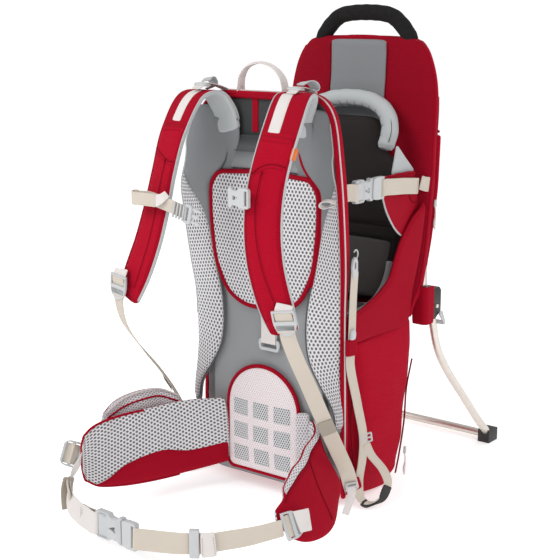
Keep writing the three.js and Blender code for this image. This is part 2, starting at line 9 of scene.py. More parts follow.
import bpy
import bmesh
import numpy as np
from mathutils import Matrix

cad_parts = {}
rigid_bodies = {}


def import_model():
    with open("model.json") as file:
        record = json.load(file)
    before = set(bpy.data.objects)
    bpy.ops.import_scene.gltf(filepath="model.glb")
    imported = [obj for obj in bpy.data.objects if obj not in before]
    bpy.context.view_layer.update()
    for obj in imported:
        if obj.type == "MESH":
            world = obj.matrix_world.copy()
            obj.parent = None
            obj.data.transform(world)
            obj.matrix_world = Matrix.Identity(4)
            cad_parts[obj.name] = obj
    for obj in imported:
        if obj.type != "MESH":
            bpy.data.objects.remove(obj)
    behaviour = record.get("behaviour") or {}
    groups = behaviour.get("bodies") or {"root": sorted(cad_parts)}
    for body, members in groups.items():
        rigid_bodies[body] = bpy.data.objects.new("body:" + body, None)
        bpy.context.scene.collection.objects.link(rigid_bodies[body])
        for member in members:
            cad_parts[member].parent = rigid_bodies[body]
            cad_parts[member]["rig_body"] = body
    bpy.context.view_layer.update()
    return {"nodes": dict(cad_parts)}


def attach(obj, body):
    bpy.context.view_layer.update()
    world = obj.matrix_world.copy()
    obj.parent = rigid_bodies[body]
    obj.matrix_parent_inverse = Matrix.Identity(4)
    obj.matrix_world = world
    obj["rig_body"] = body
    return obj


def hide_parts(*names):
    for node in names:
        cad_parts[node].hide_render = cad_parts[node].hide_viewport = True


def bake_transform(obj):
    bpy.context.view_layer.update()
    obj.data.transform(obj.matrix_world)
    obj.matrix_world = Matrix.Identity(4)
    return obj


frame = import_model()

BASE_MIDDLE_Y = 130
SIDES = (("left", -1), ("right", 1))


def metres(points):
    return (np.asarray(points, float) - (0, BASE_MIDDLE_Y, 0)) * 0.001


def unit(vector):
    vector = np.asarray(vector, float)
    return vector / np.linalg.norm(vector, axis=-1, keepdims=True)


# ---------------------------------------------------------------- camera, lights, floor
def make_camera():
    data = bpy.data.cameras.new("camera")
    data.lens = 80.4
    data.sensor_width = 36
    camera = bpy.data.objects.new("camera", data)
    bpy.context.scene.collection.objects.link(camera)
    camera.location = metres((1374.7, -1697.5, 880))
    camera.rotation_euler = (math.radians(90 - 12.2), 0, math.radians(38))
    bpy.context.scene.camera = camera


def area_light(name, location, target, size, power):
    data = bpy.data.lights.new(name, "AREA")
    data.size = size
    data.energy = power
    light = bpy.data.objects.new(name, data)
    bpy.context.scene.collection.objects.link(light)
    light.location = location
    aim = np.asarray(target, float) - np.asarray(location, float)
    light.rotation_euler = (
        math.atan2(math.hypot(aim[0], aim[1]), -aim[2]), 0, math.atan2(aim[1], aim[0]) - math.pi / 2)


def make_world():
    """Soft white surroundings: dimmer as a light than as the backdrop that the camera sees."""
    world = bpy.data.worlds.new("studio")
    world.use_nodes = True
    tree = world.node_tree
    lighting = tree.nodes["Background"]
    lighting.inputs["Color"].default_value = (1, 1, 1, 1)
    lighting.inputs["Strength"].default_value = 0.62
    backdrop = tree.nodes.new("ShaderNodeBackground")
    backdrop.inputs["Color"].default_value = (1, 1, 1, 1)
    backdrop.inputs["Strength"].default_value = 1.05
    path = tree.nodes.new("ShaderNodeLightPath")
    mix = tree.nodes.new("ShaderNodeMixShader")
    tree.links.new(path.outputs["Is Camera Ray"], mix.inputs[0])
    tree.links.new(lighting.outputs[0], mix.inputs[1])
    tree.links.new(backdrop.outputs[0], mix.inputs[2])
    tree.links.new(mix.outputs[0], tree.nodes["World Output"].inputs["Surface"])
    bpy.context.scene.world = world


def make_studio():
    area_light("key", (-1.2, -2.2, 2.7), (0, 0, 0.45), 1.8, 58)
    area_light("fill", (2.8, -1.2, 1.5), (0, 0, 0.4), 2.2, 24)
    area_light("back", (0.6, 2.6, 2.2), (0, 0, 0.5), 2.0, 22)
    make_world()
    bpy.context.scene.view_settings.view_transform = "Standard"
    bpy.ops.mesh.primitive_plane_add(size=60, location=(0, 0, -0.0006))
    floor = bpy.context.object
    floor.name = "studio_floor"
    material = bpy.data.materials.new("studio_floor")
    material.use_nodes = True
    shader = material.node_tree.nodes["Principled BSDF"]
    shader.inputs["Base Color"].default_value = (0.9, 0.9, 0.9, 1)
    shader.inputs["Roughness"].default_value = 0.9
    shader.inputs["Emission Color"].default_value = (1, 1, 1, 1)
    shader.inputs["Emission Strength"].default_value = 0.46
    floor.data.materials.append(material)


# ---------------------------------------------------------------- materials
class Shader:
    """A Principled material whose patterns are sums of node outputs."""

    def __init__(self, name, coords="UV"):
        self.material = bpy.data.materials.new(name)
        self.material.use_nodes = True
        self.tree = self.material.node_tree
        self.bsdf = self.tree.nodes["Principled BSDF"]
        source = self.tree.nodes.new("ShaderNodeTexCoord")
        self.coords = source.outputs[coords]
        self.object_coords = source.outputs["Object"]
        split = self.tree.nodes.new("ShaderNodeSeparateXYZ")
        self.link(self.coords, split.inputs[0])
        self.u, self.v, _ = split.outputs
        place = self.tree.nodes.new("ShaderNodeSeparateXYZ")
        self.link(self.object_coords, place.inputs[0])
        self.height = place.outputs[2]

    def link(self, source, target):
        if hasattr(source, "is_linked"):
            self.tree.links.new(source, target)
        else:
            target.default_value = source

    def math(self, operation, a, b=0.0, c=0.0):
        node = self.tree.nodes.new("ShaderNodeMath")
        node.operation = operation
        for value, socket in zip((a, b, c), node.inputs):
            self.link(value, socket)
        return node.outputs[0]

    def add(self, a, b):
        return self.math("ADD", a, b)

    def scale(self, a, b):
        return self.math("MULTIPLY", a, b)

    def wave(self, coordinate, pitch):
        """A sine of the given pitch in metres, from 0 to 1."""
        turn = self.scale(coordinate, 2 * math.pi / pitch)
        return self.math("MULTIPLY_ADD", self.math("SINE", turn), 0.5, 0.5)

    def noise(self, scale, detail=2.0, rough=0.5):
        node = self.tree.nodes.new("ShaderNodeTexNoise")
        node.inputs["Scale"].default_value = scale
        node.inputs["Detail"].default_value = detail
        node.inputs["Roughness"].default_value = rough
        self.link(self.object_coords, node.inputs["Vector"])
        return node.outputs["Fac"]

    def step(self, value, low, high):
        node = self.tree.nodes.new("ShaderNodeMapRange")
        node.interpolation_type = "SMOOTHSTEP"
        self.link(value, node.inputs["Value"])
        node.inputs["From Min"].default_value = low
        node.inputs["From Max"].default_value = high
        return node.outputs["Result"]

    def mix(self, factor, a, b):
        node = self.tree.nodes.new("ShaderNodeMix")
        node.data_type = "RGBA"
        self.link(factor, node.inputs[0])
        for value, socket in ((a, node.inputs[6]), (b, node.inputs[7])):
            self.link(value if hasattr(value, "is_linked") else (*value, 1), socket)
        return node.outputs[2]

    def colour(self, value):
        target = self.bsdf.inputs["Base Color"]
        self.link(value if hasattr(value, "is_linked") else (*value, 1), target)

    def bump(self, height, strength, distance):
        node = self.tree.nodes.new("ShaderNodeBump")
        node.inputs["Strength"].default_value = strength
        node.inputs["Distance"].default_value = distance
        self.link(height, node.inputs["Height"])
        self.link(node.outputs[0], self.bsdf.inputs["Normal"])

    def set(self, **values):
        for name, value in values.items():
            self.bsdf.inputs[name.replace("_", " ")].default_value = value
        return self.material


def shade(colour, factor):
    return tuple(min(1.0, c * factor) for c in colour)


RED = (0.41, 0.0015, 0.018)
DEEP_RED = (0.20, 0.001, 0.009)
GREY = (0.235, 0.245, 0.255)
LIGHT_GREY = (0.50, 0.52, 0.53)
DARK_GREY = (0.034, 0.027, 0.027)
CREAM = (0.67, 0.60, 0.515)
PLASTIC = (0.47, 0.48, 0.49)
BLACK = (0.010, 0.009, 0.009)


def woven(name, colour, pitch=0.0009, ripstop=0.0, folds=0.6, shadow=None):
    """Plain-weave cloth with a fine thread relief, soft folds and slightly uneven dye."""
    s = Shader(name)
    threads = s.scale(s.wave(s.u, pitch), s.wave(s.v, pitch))
    dye = s.noise(14, 3)
    base = s.mix(dye, shade(colour, 0.84), shade(colour, 1.16))
    base = s.mix(s.scale(threads, 0.35), shade(colour, 0.9), base)
    height = s.scale(threads, 0.25)
    if ripstop:
        lines = [s.step(s.wave(coordinate, ripstop), 0.93, 1.0) for coordinate in (s.u, s.v)]
        grid = s.math("MAXIMUM", *lines)
        height = s.add(height, s.scale(grid, 0.5))
        base = s.mix(s.scale(grid, 0.35), base, shade(colour, 1.25))
    height = s.add(height, s.scale(s.noise(38, 2, 0.45), folds))
    if shadow:
        # Painted shade: the cloth is darker above a height, where the yoke and the straps shade the board.
        low, high, factor = shadow
        base = s.mix(s.step(s.height, low, high), base, shade(colour, factor))
    s.colour(base)
    s.bump(height, 0.55, 0.0016)
    return s.set(Roughness=0.8, Sheen_Weight=0.0, Specular_IOR_Level=0.09)


def hex_dots(s, pitch):
    """Distance to the nearest point of a staggered lattice, in pitches."""
    row_height = pitch * 0.86
    rows = s.math("DIVIDE", s.v, row_height)
    row = s.math("FLOOR", rows)
    shift = s.scale(s.math("MODULO", s.math("ABSOLUTE", row), 2.0), 0.5)
    along = s.math("FRACT", s.add(s.math("DIVIDE", s.u, pitch), shift))
    du = s.math("SUBTRACT", along, 0.5)
    dv = s.math("SUBTRACT", s.math("FRACT", rows), 0.5)
    dv = s.scale(dv, 0.72)
    return s.math("SQRT", s.add(s.scale(du, du), s.scale(dv, dv)))


def spacer_mesh(name, thread, hole, pitch=0.0076, radius=0.29):
    """Spacer mesh: round holes in a knitted face, with a darker layer showing through."""
    s = Shader(name)
    reach = hex_dots(s, pitch)
    face = s.step(reach, radius * 0.72, radius * 1.28)
    knit = s.wave(s.add(s.u, s.v), 0.0011)
    tint = s.mix(s.noise(9, 2), shade(thread, 0.9), shade(thread, 1.1))
    tint = s.mix(s.scale(knit, 0.3), tint, shade(thread, 0.84))
    s.colour(s.mix(face, hole, tint))
    s.bump(s.add(s.scale(face, 1.0), s.scale(knit, 0.12)), 0.8, 0.0012)
    return s.set(Roughness=0.85, Sheen_Weight=0.05, Sheen_Roughness=0.5, Specular_IOR_Level=0.25)


def window_mesh(name, pad_width, first_row, row_pitch):
    """White mesh with three by three darker windows; U runs across the pad from its middle."""
    s = Shader(name)
    reach = hex_dots(s, 0.0050)
    face = s.step(reach, 0.19, 0.36)
    column = pad_width / 3
    columns = s.math("DIVIDE", s.add(s.u, pad_width / 2), column)
    du = s.math("ABSOLUTE", s.math("SUBTRACT", s.math("FRACT", columns), 0.5))
    rows = s.math("DIVIDE", s.math("SUBTRACT", s.v, first_row), row_pitch)
    dv = s.math("ABSOLUTE", s.math("SUBTRACT", s.math("FRACT", rows), 0.5))
    inside = s.scale(s.math("LESS_THAN", du, 0.37), s.math("LESS_THAN", dv, 0.34))
    inside = s.scale(inside, s.scale(s.math("GREATER_THAN", rows, 0.0), s.math("LESS_THAN", rows, 3.0)))
    inside = s.scale(inside, s.math("LESS_THAN", s.math("ABSOLUTE", s.u), pad_width / 2))
    white = (0.80, 0.74, 0.75)
    pale = s.mix(face, (0.66, 0.55, 0.57), white)
    dark = s.mix(face, (0.10, 0.11, 0.12), (0.62, 0.62, 0.63))
    s.colour(s.mix(inside, pale, dark))
    s.bump(s.add(s.scale(face, 1.0), s.scale(inside, -1.2)), 0.8, 0.0011)
    return s.set(Roughness=0.85, Sheen_Weight=0.05, Sheen_Roughness=0.5)


def webbing_cloth(name, colour):
    """Woven webbing: fine herringbone ribs across a flat strap."""
    s = Shader(name)
    zigzag = s.math("ABSOLUTE", s.math("SUBTRACT", s.math("FRACT", s.scale(s.u, 180)), 0.5))
    ribs = s.wave(s.add(s.v, s.scale(zigzag, 0.0022)), 0.0016)
    tint = s.mix(s.noise(20, 3), shade(colour, 0.88), shade(colour, 1.1))
    s.colour(s.mix(s.scale(ribs, 0.5), shade(colour, 0.80), tint))
    s.bump(ribs, 0.5, 0.0007)
    return s.set(Roughness=0.8, Sheen_Weight=0.05, Sheen_Roughness=0.5, Specular_IOR_Level=0.2)


def moulded(name, colour, roughness=0.42):
    """Moulded plastic with a faint spark-eroded grain."""
    s = Shader(name, "Object")
    grain = s.noise(1400, 2)
    s.colour(s.mix(s.noise(30, 2), shade(colour, 0.93), shade(colour, 1.05)))
    s.bump(grain, 0.12, 0.0004)
    return s.set(Roughness=roughness, Specular_IOR_Level=0.5)


def foam(name):
    """Closed-cell foam: fine pits and a dusty, matt face."""
    s = Shader(name, "Object")
    cells = s.tree.nodes.new("ShaderNodeTexVoronoi")
    cells.inputs["Scale"].default_value = 900
    s.link(s.object_coords, cells.inputs["Vector"])
    pits = cells.outputs["Distance"]
    s.colour(s.mix(s.noise(160, 4), (0.007, 0.006, 0.006), (0.018, 0.017, 0.017)))
    s.bump(s.add(pits, s.scale(s.noise(260, 2), 0.6)), 0.5, 0.0008)
    return s.set(Roughness=0.95, Specular_IOR_Level=0.15)


def anodised(name):
    """Silver anodised tube with drawing lines and a faint warm tint."""
    s = Shader(name)
    lines = s.noise(90, 3)
    s.colour(s.mix(lines, (0.60, 0.555, 0.50), (0.74, 0.70, 0.65)))
    s.bump(s.add(s.scale(s.wave(s.u, 0.0007), 0.3), s.scale(lines, 0.3)), 0.12, 0.0003)
    return s.set(Metallic=0.85, Roughness=0.34)


M = {
    "red": woven("cloth_red", RED, ripstop=0.0052),
    # Painted shade: a darker copy of the red for the rear panel's inner face, which lies in shadow.
    "red_painted_shade": woven("cloth_red_painted_shade", shade(RED, 0.66), ripstop=0.0052),
    "red_plain": woven("cloth_red_plain", shade(RED, 0.86), folds=0.9),
    "red_binding": woven("binding_red", shade(RED, 0.8), pitch=0.0013, folds=0.2),
    "seam": woven("seam_dark_red", DEEP_RED, pitch=0.0012, folds=0.1),
    "grey": woven("cloth_grey", GREY),
    # Painted shade: the board cloth darkens above 0.60–0.66 m, where the yoke and the straps shade it.
    "board": woven("cloth_board", (0.32, 0.33, 0.34), shadow=(0.60, 0.66, 0.16)),
    "light_grey": woven("cloth_light_grey", LIGHT_GREY, folds=0.8),
    "dark_grey": woven("cloth_dark_grey", DARK_GREY, folds=0.8),
    "mid_grey": woven("cloth_mid_grey", (0.12, 0.11, 0.105), folds=0.8),
    "seam_black": woven("seam_black", (0.02, 0.018, 0.017), pitch=0.0012, folds=0.1),
    "grey_seam": woven("seam_grey", shade(GREY, 0.45), pitch=0.0012, folds=0.1),
    "pale_binding": woven("binding_cream", (0.62, 0.56, 0.55), pitch=0.0013, folds=0.2),
    "mesh": spacer_mesh("spacer_mesh", (0.74, 0.72, 0.74), (0.13, 0.13, 0.14)),
    "fine_mesh": spacer_mesh("fine_mesh", (0.72, 0.69, 0.71), (0.30, 0.27, 0.29), pitch=0.0056),
    "webbing": webbing_cloth("webbing_cream", CREAM),
    "webbing_pale": webbing_cloth("webbing_pale", (0.80, 0.75, 0.73)),
    # Painted shade: a darker copy of the cream webbing, for webbing that lies in shadow.
    "webbing_painted_shade": webbing_cloth("webbing_shade", (0.42, 0.37, 0.31)),
    "orange": webbing_cloth("tab_orange", (0.85, 0.20, 0.05)),
    "thread": woven("thread_red", shade(RED, 0.55), pitch=0.0006, folds=0.0),
    "thread_pale": woven("thread_cream", (0.40, 0.35, 0.30), pitch=0.0006, folds=0.0),
    "plastic": moulded("plastic_grey", PLASTIC),
    "black": moulded("plastic_black", BLACK, 0.5),
    "foam": foam("foam_black"),
    "metal": anodised("tube_silver"),
    "windows": window_mesh("lumbar_windows", 0.144, 0.048, 0.045),
}


# ---------------------------------------------------------------- lines and surfaces
def spline(rows, count):
    """Centripetal Catmull-Rom curve through rows, evenly spaced along its first three columns."""
    rows = np.asarray(rows, float)
    rows = np.vstack([2 * rows[0] - rows[1], rows, 2 * rows[-1] - rows[-2]])
    gaps = np.maximum(np.linalg.norm(np.diff(rows[:, :3], axis=0), axis=1), 1e-6) ** 0.5
    knots = np.concatenate([[0], np.cumsum(gaps)])
    dense = []
    for i in range(1, len(rows) - 2):
        t0, t1, t2, t3 = knots[i - 1:i + 3]
        p0, p1, p2, p3 = rows[i - 1:i + 3]
        t = np.linspace(t1, t2, 24, endpoint=i == len(rows) - 3)[:, None]
        a1 = (t1 - t) / (t1 - t0) * p0 + (t - t0) / (t1 - t0) * p1
        a2 = (t2 - t) / (t2 - t1) * p1 + (t - t1) / (t2 - t1) * p2
        a3 = (t3 - t) / (t3 - t2) * p2 + (t - t2) / (t3 - t2) * p3
        b1 = (t2 - t) / (t2 - t0) * a1 + (t - t0) / (t2 - t0) * a2
        b2 = (t3 - t) / (t3 - t1) * a2 + (t - t1) / (t3 - t1) * a3
        dense.append((t2 - t) / (t2 - t1) * b1 + (t - t1) / (t2 - t1) * b2)
    dense = np.vstack(dense)
    length = np.concatenate([[0], np.cumsum(np.linalg.norm(np.diff(dense[:, :3], axis=0), axis=1))])
    even = np.linspace(0, length[-1], count)
    return np.column_stack([np.interp(even, length, dense[:, k]) for k in range(dense.shape[1])])


def lengths(points):
    steps = np.linalg.norm(np.diff(points, axis=0), axis=1)
    return np.concatenate([[0], np.cumsum(steps)])


class Patch:
    """Points (mm), faces and corner UVs (metres) gathered before they become one mesh."""

    def __init__(self):
        self.points, self.faces, self.uvs, self.kinds = [], [], [], []

    def grid(self, rows, around=False, kinds=0, uv=None):
        rows = np.asarray(rows, float)
        count, columns = rows.shape[:2]
        start = len(self.points)
        self.points.extend(rows.reshape(-1, 3))
        middle = rows[count // 2]
        u = lengths(np.vstack([middle, middle[:1]]) if around else middle) * 0.001
        v = lengths(rows.mean(axis=1)) * 0.001
        if v[-1] < 1e-6:
            v = lengths(rows[:, 0]) * 0.001
        for r in range(count - 1):
            for c in range(columns if around else columns - 1):
                d = (c + 1) % columns
                corners = ((r, c), (r, d), (r + 1, d), (r + 1, c))
                self.faces.append([start + i * columns + j for i, j in corners])
                if uv is None:
                    self.uvs.append([(u[c], v[r]), (u[c + 1], v[r]), (u[c + 1], v[r + 1]), (u[c], v[r + 1])])
                else:
                    self.uvs.append([tuple(uv[i][j]) for i, j in corners])
                self.kinds.append(kinds[c] if hasattr(kinds, "__len__") else kinds)

    def fan(self, ring, kind=0):
        """Closes a ring of points with triangles to its middle."""
        ring = np.asarray(ring, float)
        middle = ring.mean(axis=0)
        start = len(self.points)
        self.points.extend(ring)
        self.points.append(middle)
        flat = unit(ring[0] - middle)
        other = unit(np.cross(np.cross(flat, unit(ring[len(ring) // 4] - middle)), flat))
        flats = [((p - middle) @ flat * 0.001, (p - middle) @ other * 0.001) for p in ring]
        for k in range(len(ring)):
            j = (k + 1) % len(ring)
            self.faces.append([start + k, start + j, start + len(ring)])
            self.uvs.append([flats[k], flats[j], (0, 0)])
            self.kinds.append(kind)


CLOTH_FRAMES = 20


def puff(piece, pressure, cap):
    """Inflates a closed cloth piece by a cloth simulation in which no point moves further than cap (mm)."""
    cloth = piece.modifiers.new("cloth", "CLOTH")
    cloth.settings.use_pressure = True
    cloth.settings.uniform_pressure_force = pressure
    cloth.settings.effector_weights.gravity = 0
    cloth.point_cache.frame_start = 1
    cloth.point_cache.frame_end = CLOTH_FRAMES
    for number in range(1, CLOTH_FRAMES + 1):
        bpy.context.scene.frame_set(number)
    shaped = piece.evaluated_get(bpy.context.evaluated_depsgraph_get())
    rest = np.empty(len(piece.data.vertices) * 3, np.float32)
    moved = np.empty_like(rest)
    piece.data.vertices.foreach_get("co", rest)
    shaped.data.vertices.foreach_get("co", moved)
    step = (moved - rest).reshape(-1, 3)
    size = np.linalg.norm(step, axis=1, keepdims=True)
    step *= np.minimum(1, cap * 0.001 / np.maximum(size, 1e-9))
    final = rest.reshape(-1, 3) + step
    final[:, 2] = np.maximum(final[:, 2], np.minimum(rest[2::3], 0.0005))
    piece.modifiers.remove(cloth)
    piece.data.vertices.foreach_set("co", final.ravel())
    piece.data.update()
    bpy.context.scene.frame_set(1)


def build(name, patch, material, body="carrier", replaces=(), subdivide=1, ride=True, inflate=None):
    """Turns a patch into a smooth object that rides on a body and stands for CAD nodes."""
    names = [material] if isinstance(material, str) else list(material)
    data = bpy.data.meshes.new(name)
    data.from_pydata([tuple(p) for p in metres(patch.points)], [], patch.faces)
    layer = data.uv_layers.new(name="UVMap")
    flat = [corner for face in patch.uvs for corner in face]
    layer.data.foreach_set("uv", np.asarray(flat, np.float32).ravel())
    for key in names:
        data.materials.append(M[key])
    data.polygons.foreach_set("material_index", patch.kinds)
    data.polygons.foreach_set("use_smooth", [True] * len(data.polygons))
    shape = bmesh.new()
    shape.from_mesh(data)
    bmesh.ops.remove_doubles(shape, verts=shape.verts, dist=2e-5)
    bmesh.ops.recalc_face_normals(shape, faces=shape.faces)
    shape.to_mesh(data)
    shape.free()
    piece = bpy.data.objects.new(name, data)
    bpy.context.scene.collection.objects.link(piece)
    if inflate:
        puff(piece, *inflate)
    if subdivide:
        modifier = piece.modifiers.new("subdivision", "SUBSURF")
        modifier.levels = subdivide
        modifier.render_levels = subdivide
    if ride:
        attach(piece, body)
    if replaces:
        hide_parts(*([replaces] if isinstance(replaces, str) else replaces))
    return piece


def superellipse(count, width_power=0.45, depth_power=0.7):
    angle = np.arange(count) * 2 * math.pi / count
    c, s = np.cos(angle), np.sin(angle)
    return np.column_stack([np.sign(c) * abs(c) ** width_power, np.sign(s) * abs(s) ** depth_power])


WEB_SECTION = np.array([
    (-1, 0), (-0.985, 0.7), (-0.93, 1), (-0.45, 1), (0, 1), (0.45, 1), (0.93, 1), (0.985, 0.7),
    (1, 0), (0.985, -0.7), (0.93, -1), (0.45, -1), (0, -1), (-0.45, -1), (-0.93, -1), (-0.985, -0.7)])
PAD_SECTION = superellipse(24)


class Strip:
    """A flat or padded strip: rows of [middle, half-width vector, half-thickness] along a curve."""

    def __init__(self, stations, count=60):
        rows = np.array([[*middle, *half, thick] for middle, half, thick in stations], float)
        rows = spline(rows, count)
        self.line = rows[:, :3]
        self.tangent = unit(np.gradient(self.line, axis=0))
        half = rows[:, 3:6]
        half = half - self.tangent * np.sum(half * self.tangent, axis=1)[:, None]
        self.width = np.linalg.norm(half, axis=1)
        self.across = half / self.width[:, None]
        self.normal = np.cross(self.tangent, self.across)
        self.thick = rows[:, 6]
        self.count = count

    def point(self, t, a, lift=0.0, side=1, power=4.44):
        """Point on the face at t along and a across, both 0..1 and -1..1, raised by lift."""
        index = np.clip(t, 0, 1) * (self.count - 1)
        low = int(min(math.floor(index), self.count - 2))
        f = index - low

        def blend(values):
            return values[low] * (1 - f) + values[low + 1] * f
        crown = max(0.0, 1 - min(abs(a), 1.0) ** power) ** 0.35
        return (blend(self.line) + blend(self.across) * a * blend(self.width)
                + blend(self.normal) * side * (blend(self.thick) * crown + lift))

    def patch(self, section=WEB_SECTION, kinds=0, round_ends=0.0):
        rows = []
        for i in range(self.count):
            rows.append(self.line[i] + np.outer(section[:, 0] * self.width[i], self.across[i])
                        + np.outer(section[:, 1] * self.thick[i], self.normal[i]))
        if round_ends:
            for end, inner in ((0, 1), (-1, -2)):
                outward = unit(self.line[end] - self.line[inner])
                middle = self.line[end]
                cap = middle + (rows[end] - middle) * 0.62 + outward * round_ends
                rows = [cap] + rows if end == 0 else rows + [cap]
        patch = Patch()
        patch.grid(rows, around=True, kinds=kinds)
        kind = kinds[0] if hasattr(kinds, "__len__") else kinds
        patch.fan(rows[0], kind)
        patch.fan(rows[-1], kind)
        return patch

    def overlay(self, t0, t1, low, high, height, lift=0.2, side=1, steps=24, columns=10, edge=0.12,
                power=4.44):
        """A puffed layer on one face between two lines across, as a closed patch."""
        tops, bottoms = [], []
        for i in range(steps + 1):
            f = i / steps
            t = t0 + (t1 - t0) * f
            a0, a1 = (low(f) if callable(low) else low), (high(f) if callable(high) else high)
            ends = min(1.0, min(f, 1 - f) / edge) if edge else 1.0
            top, bottom = [], []
            for j in range(columns + 1):
                g = j / columns
                a = a0 + (a1 - a0) * g
                swell = (1 - abs(2 * g - 1) ** 4) ** 0.5 * (1 - (1 - ends) ** 2) ** 0.5
                top.append(self.point(t, a, lift + height * swell, side, power))
                bottom.append(self.point(t, a, lift - 0.6, side, power))
            tops.append(top)
            bottoms.append(bottom)
        patch = Patch()
        loops = [list(top) + list(reversed(bottom)) for top, bottom in zip(tops, bottoms)]
        patch.grid(loops, around=True)
        patch.fan(loops[0])
        patch.fan(loops[-1])
        return patch

    def trace(self, points, lift=0.0, side=1, power=4.44):
        """A line on the face through [t, a] pairs."""
        pairs = spline([(t, a, 0) for t, a in points], 8 * len(points))
        return np.array([self.point(t, a, lift, side, power) for t, a, _ in pairs])


def band(path, width, thickness, across, count=60):
    """A strip of even thickness; across and width may be one value or one per path point."""
    path = [np.asarray(p, float) for p in path]
    n = len(path)
    acrosses = [np.asarray(across, float)] * n if np.ndim(across) == 1 else [np.asarray(a,
        float) for a in across]
    widths = [width] * n if np.ndim(width) == 0 else list(width)
    return Strip([(p, unit(a) * w / 2, thickness / 2) for p, a, w in zip(path, acrosses, widths)], count)


def between(first, last, count):
    """Directions turning evenly from first to last."""
    first, last = np.asarray(first, float), np.asarray(last, float)
    return [unit(first + (last - first) * i / (count - 1)) for i in range(count)]


def tube_patch(path, radius, sides=10, closed=False, count=None, through_spline=True):
    line = spline(path, count or 12 * len(path)) if through_spline else np.asarray(path, float)
    tangent = unit(np.gradient(line, axis=0))
    normal = np.cross(tangent[0], (0.31, 0.17, 0.93))
    rows = []
    for i in range(len(line)):
        normal = unit(normal - tangent[i] * (normal @ tangent[i]))
        other = np.cross(tangent[i], normal)
        r = radius if np.ndim(radius) == 0 else np.interp(i / (len(line) - 1),
                                                          np.linspace(0, 1, len(radius)), radius)
        angle = np.arange(sides) * 2 * math.pi / sides
        rows.append(line[i] + r * (np.outer(np.cos(angle), normal) + np.outer(np.sin(angle), other)))
    patch = Patch()
    patch.grid(rows, around=True)
    if not closed:
        patch.fan(rows[0])
        patch.fan(rows[-1])
    return patch


def piping(name, path, radius, material, body="carrier", count=None):
    return build(name, tube_patch(path, radius, 8, count=count), material, body, subdivide=1)


def stitches(name, lines, material, body="carrier", pitch=4.0, length=2.6, radius=0.4):
    """Rows of short stitches, each a small six-sided bead laid along its line."""
    patch = Patch()
    for line in lines:
        line = np.asarray(line, float)
        run = lengths(line)
        for k in range(int(run[-1] / pitch)):
            ends = [k * pitch + 0.5, k * pitch + 0.5 + length]
            a, b = (np.array([np.interp(e, run, line[:, i]) for i in range(3)]) for e in ends)
            axis = unit(b - a)
            side = unit(np.cross(axis, (0.3, 0.2, 0.9)))
            other = np.cross(axis, side)
            rows = []
            for f, r in ((0, 0.45), (0.25, 1), (0.75, 1), (1, 0.45)):
                angle = np.arange(6) * math.pi / 3
                ring = a + (b - a) * f + radius * r * (np.outer(np.cos(angle),
                                                                side) + np.outer(np.sin(angle), other))
                rows.append(ring)
            patch.grid(rows, around=True)
            patch.fan(rows[0])
            patch.fan(rows[-1])
    return build(name, patch, material, body, subdivide=0)


def pillow(outline, place, front, back, crown_front=4.0, crown_back=0.0, edge=4.0,
           rings=(0.3, 0.55, 0.75, 0.9)):
    """A crowned closed form over an outline; place(u, v, w) puts it in space, front < back along w."""
    outline = np.asarray(outline, float)
    centre = (outline.max(axis=0) + outline.min(axis=0)) / 2
    reach = np.linalg.norm(outline - centre, axis=1)[:, None]

    def ring(scale, inset, w, crown):
        pts = centre + (outline - centre) * np.maximum(scale - inset / reach, 0.0)
        lift = crown * (1 - scale ** 2.6) * (-1 if w <= (front + back) / 2 else 1)
        return [place(u, v, w + lift) for u, v in pts], [(u * 0.001, v * 0.001) for u, v in pts]
    rows, uvs = [], []
    for scale in rings:
        points, uv = ring(scale, edge * scale, front, crown_front)
        rows.append(points)
        uvs.append(uv)
    for angle in (0, 30, 60, 90):
        a = math.radians(angle)
        points, uv = ring(1, edge * (1 - math.sin(a)), front + edge * (1 - math.cos(a)), 0)
        rows.append(points)
        uvs.append(uv)
    for angle in (90, 60, 30, 0):
        a = math.radians(angle)
        points, uv = ring(1, edge * (1 - math.sin(a)), back - edge * (1 - math.cos(a)), 0)
        rows.append(points)
        uvs.append(uv)
    for scale in reversed(rings):
        points, uv = ring(scale, edge * scale, back, crown_back)
        rows.append(points)
        uvs.append(uv)
    patch = Patch()
    # The rows close on themselves, so the outline's first point is repeated for the UVs.
    closed = [[*row, row[0]] for row in rows]
    closed_uvs = [[*uv, uv[0]] for uv in uvs]
    patch.grid(closed, uv=closed_uvs)
    for row, uv in ((rows[0], uvs[0]), (rows[-1], uvs[-1])):
        start = len(patch.points)
        patch.points.extend(np.asarray(row))
        patch.points.append(np.mean(row, axis=0))
        middle = tuple(np.mean(uv, axis=0))
        for k in range(len(row)):
            j = (k + 1) % len(row)
            patch.faces.append([start + k, start + j, start + len(row)])
            patch.uvs.append([uv[k], uv[j], middle])
            patch.kinds.append(0)
    return patch


def rounded(corners, radius, steps=4):
    """A closed outline with its corners rounded, as evenly turning points."""
    corners = [np.asarray(c, float) for c in corners]
    points = []
    for i, corner in enumerate(corners):
        before, after = corners[i - 1], corners[(i + 1) % len(corners)]
        r = radius[i] if np.ndim(radius) else radius
        r = min(r, np.linalg.norm(before - corner) * 0.48, np.linalg.norm(after - corner) * 0.48)
        a = corner + unit(before - corner) * r
        b = corner + unit(after - corner) * r
        for k in range(steps + 1):
            t = k / steps
            points.append((1 - t) ** 2 * a + 2 * t * (1 - t) * corner + t * t * b)
    return np.array(points)


def dense_outline(points, step):
    """Adds points along the long sides of a closed outline."""
    result = []
    for i, p in enumerate(points):
        q = points[(i + 1) % len(points)]
        parts = max(1, int(np.linalg.norm(q - p) / step))
        result.extend(p + (q - p) * k / parts for k in range(parts))
    return np.array(result)


PAD_RINGS = (0.2, 0.4, 0.6, 0.78, 0.92)


def in_xz(u, v, w):
    return (u, w, v)


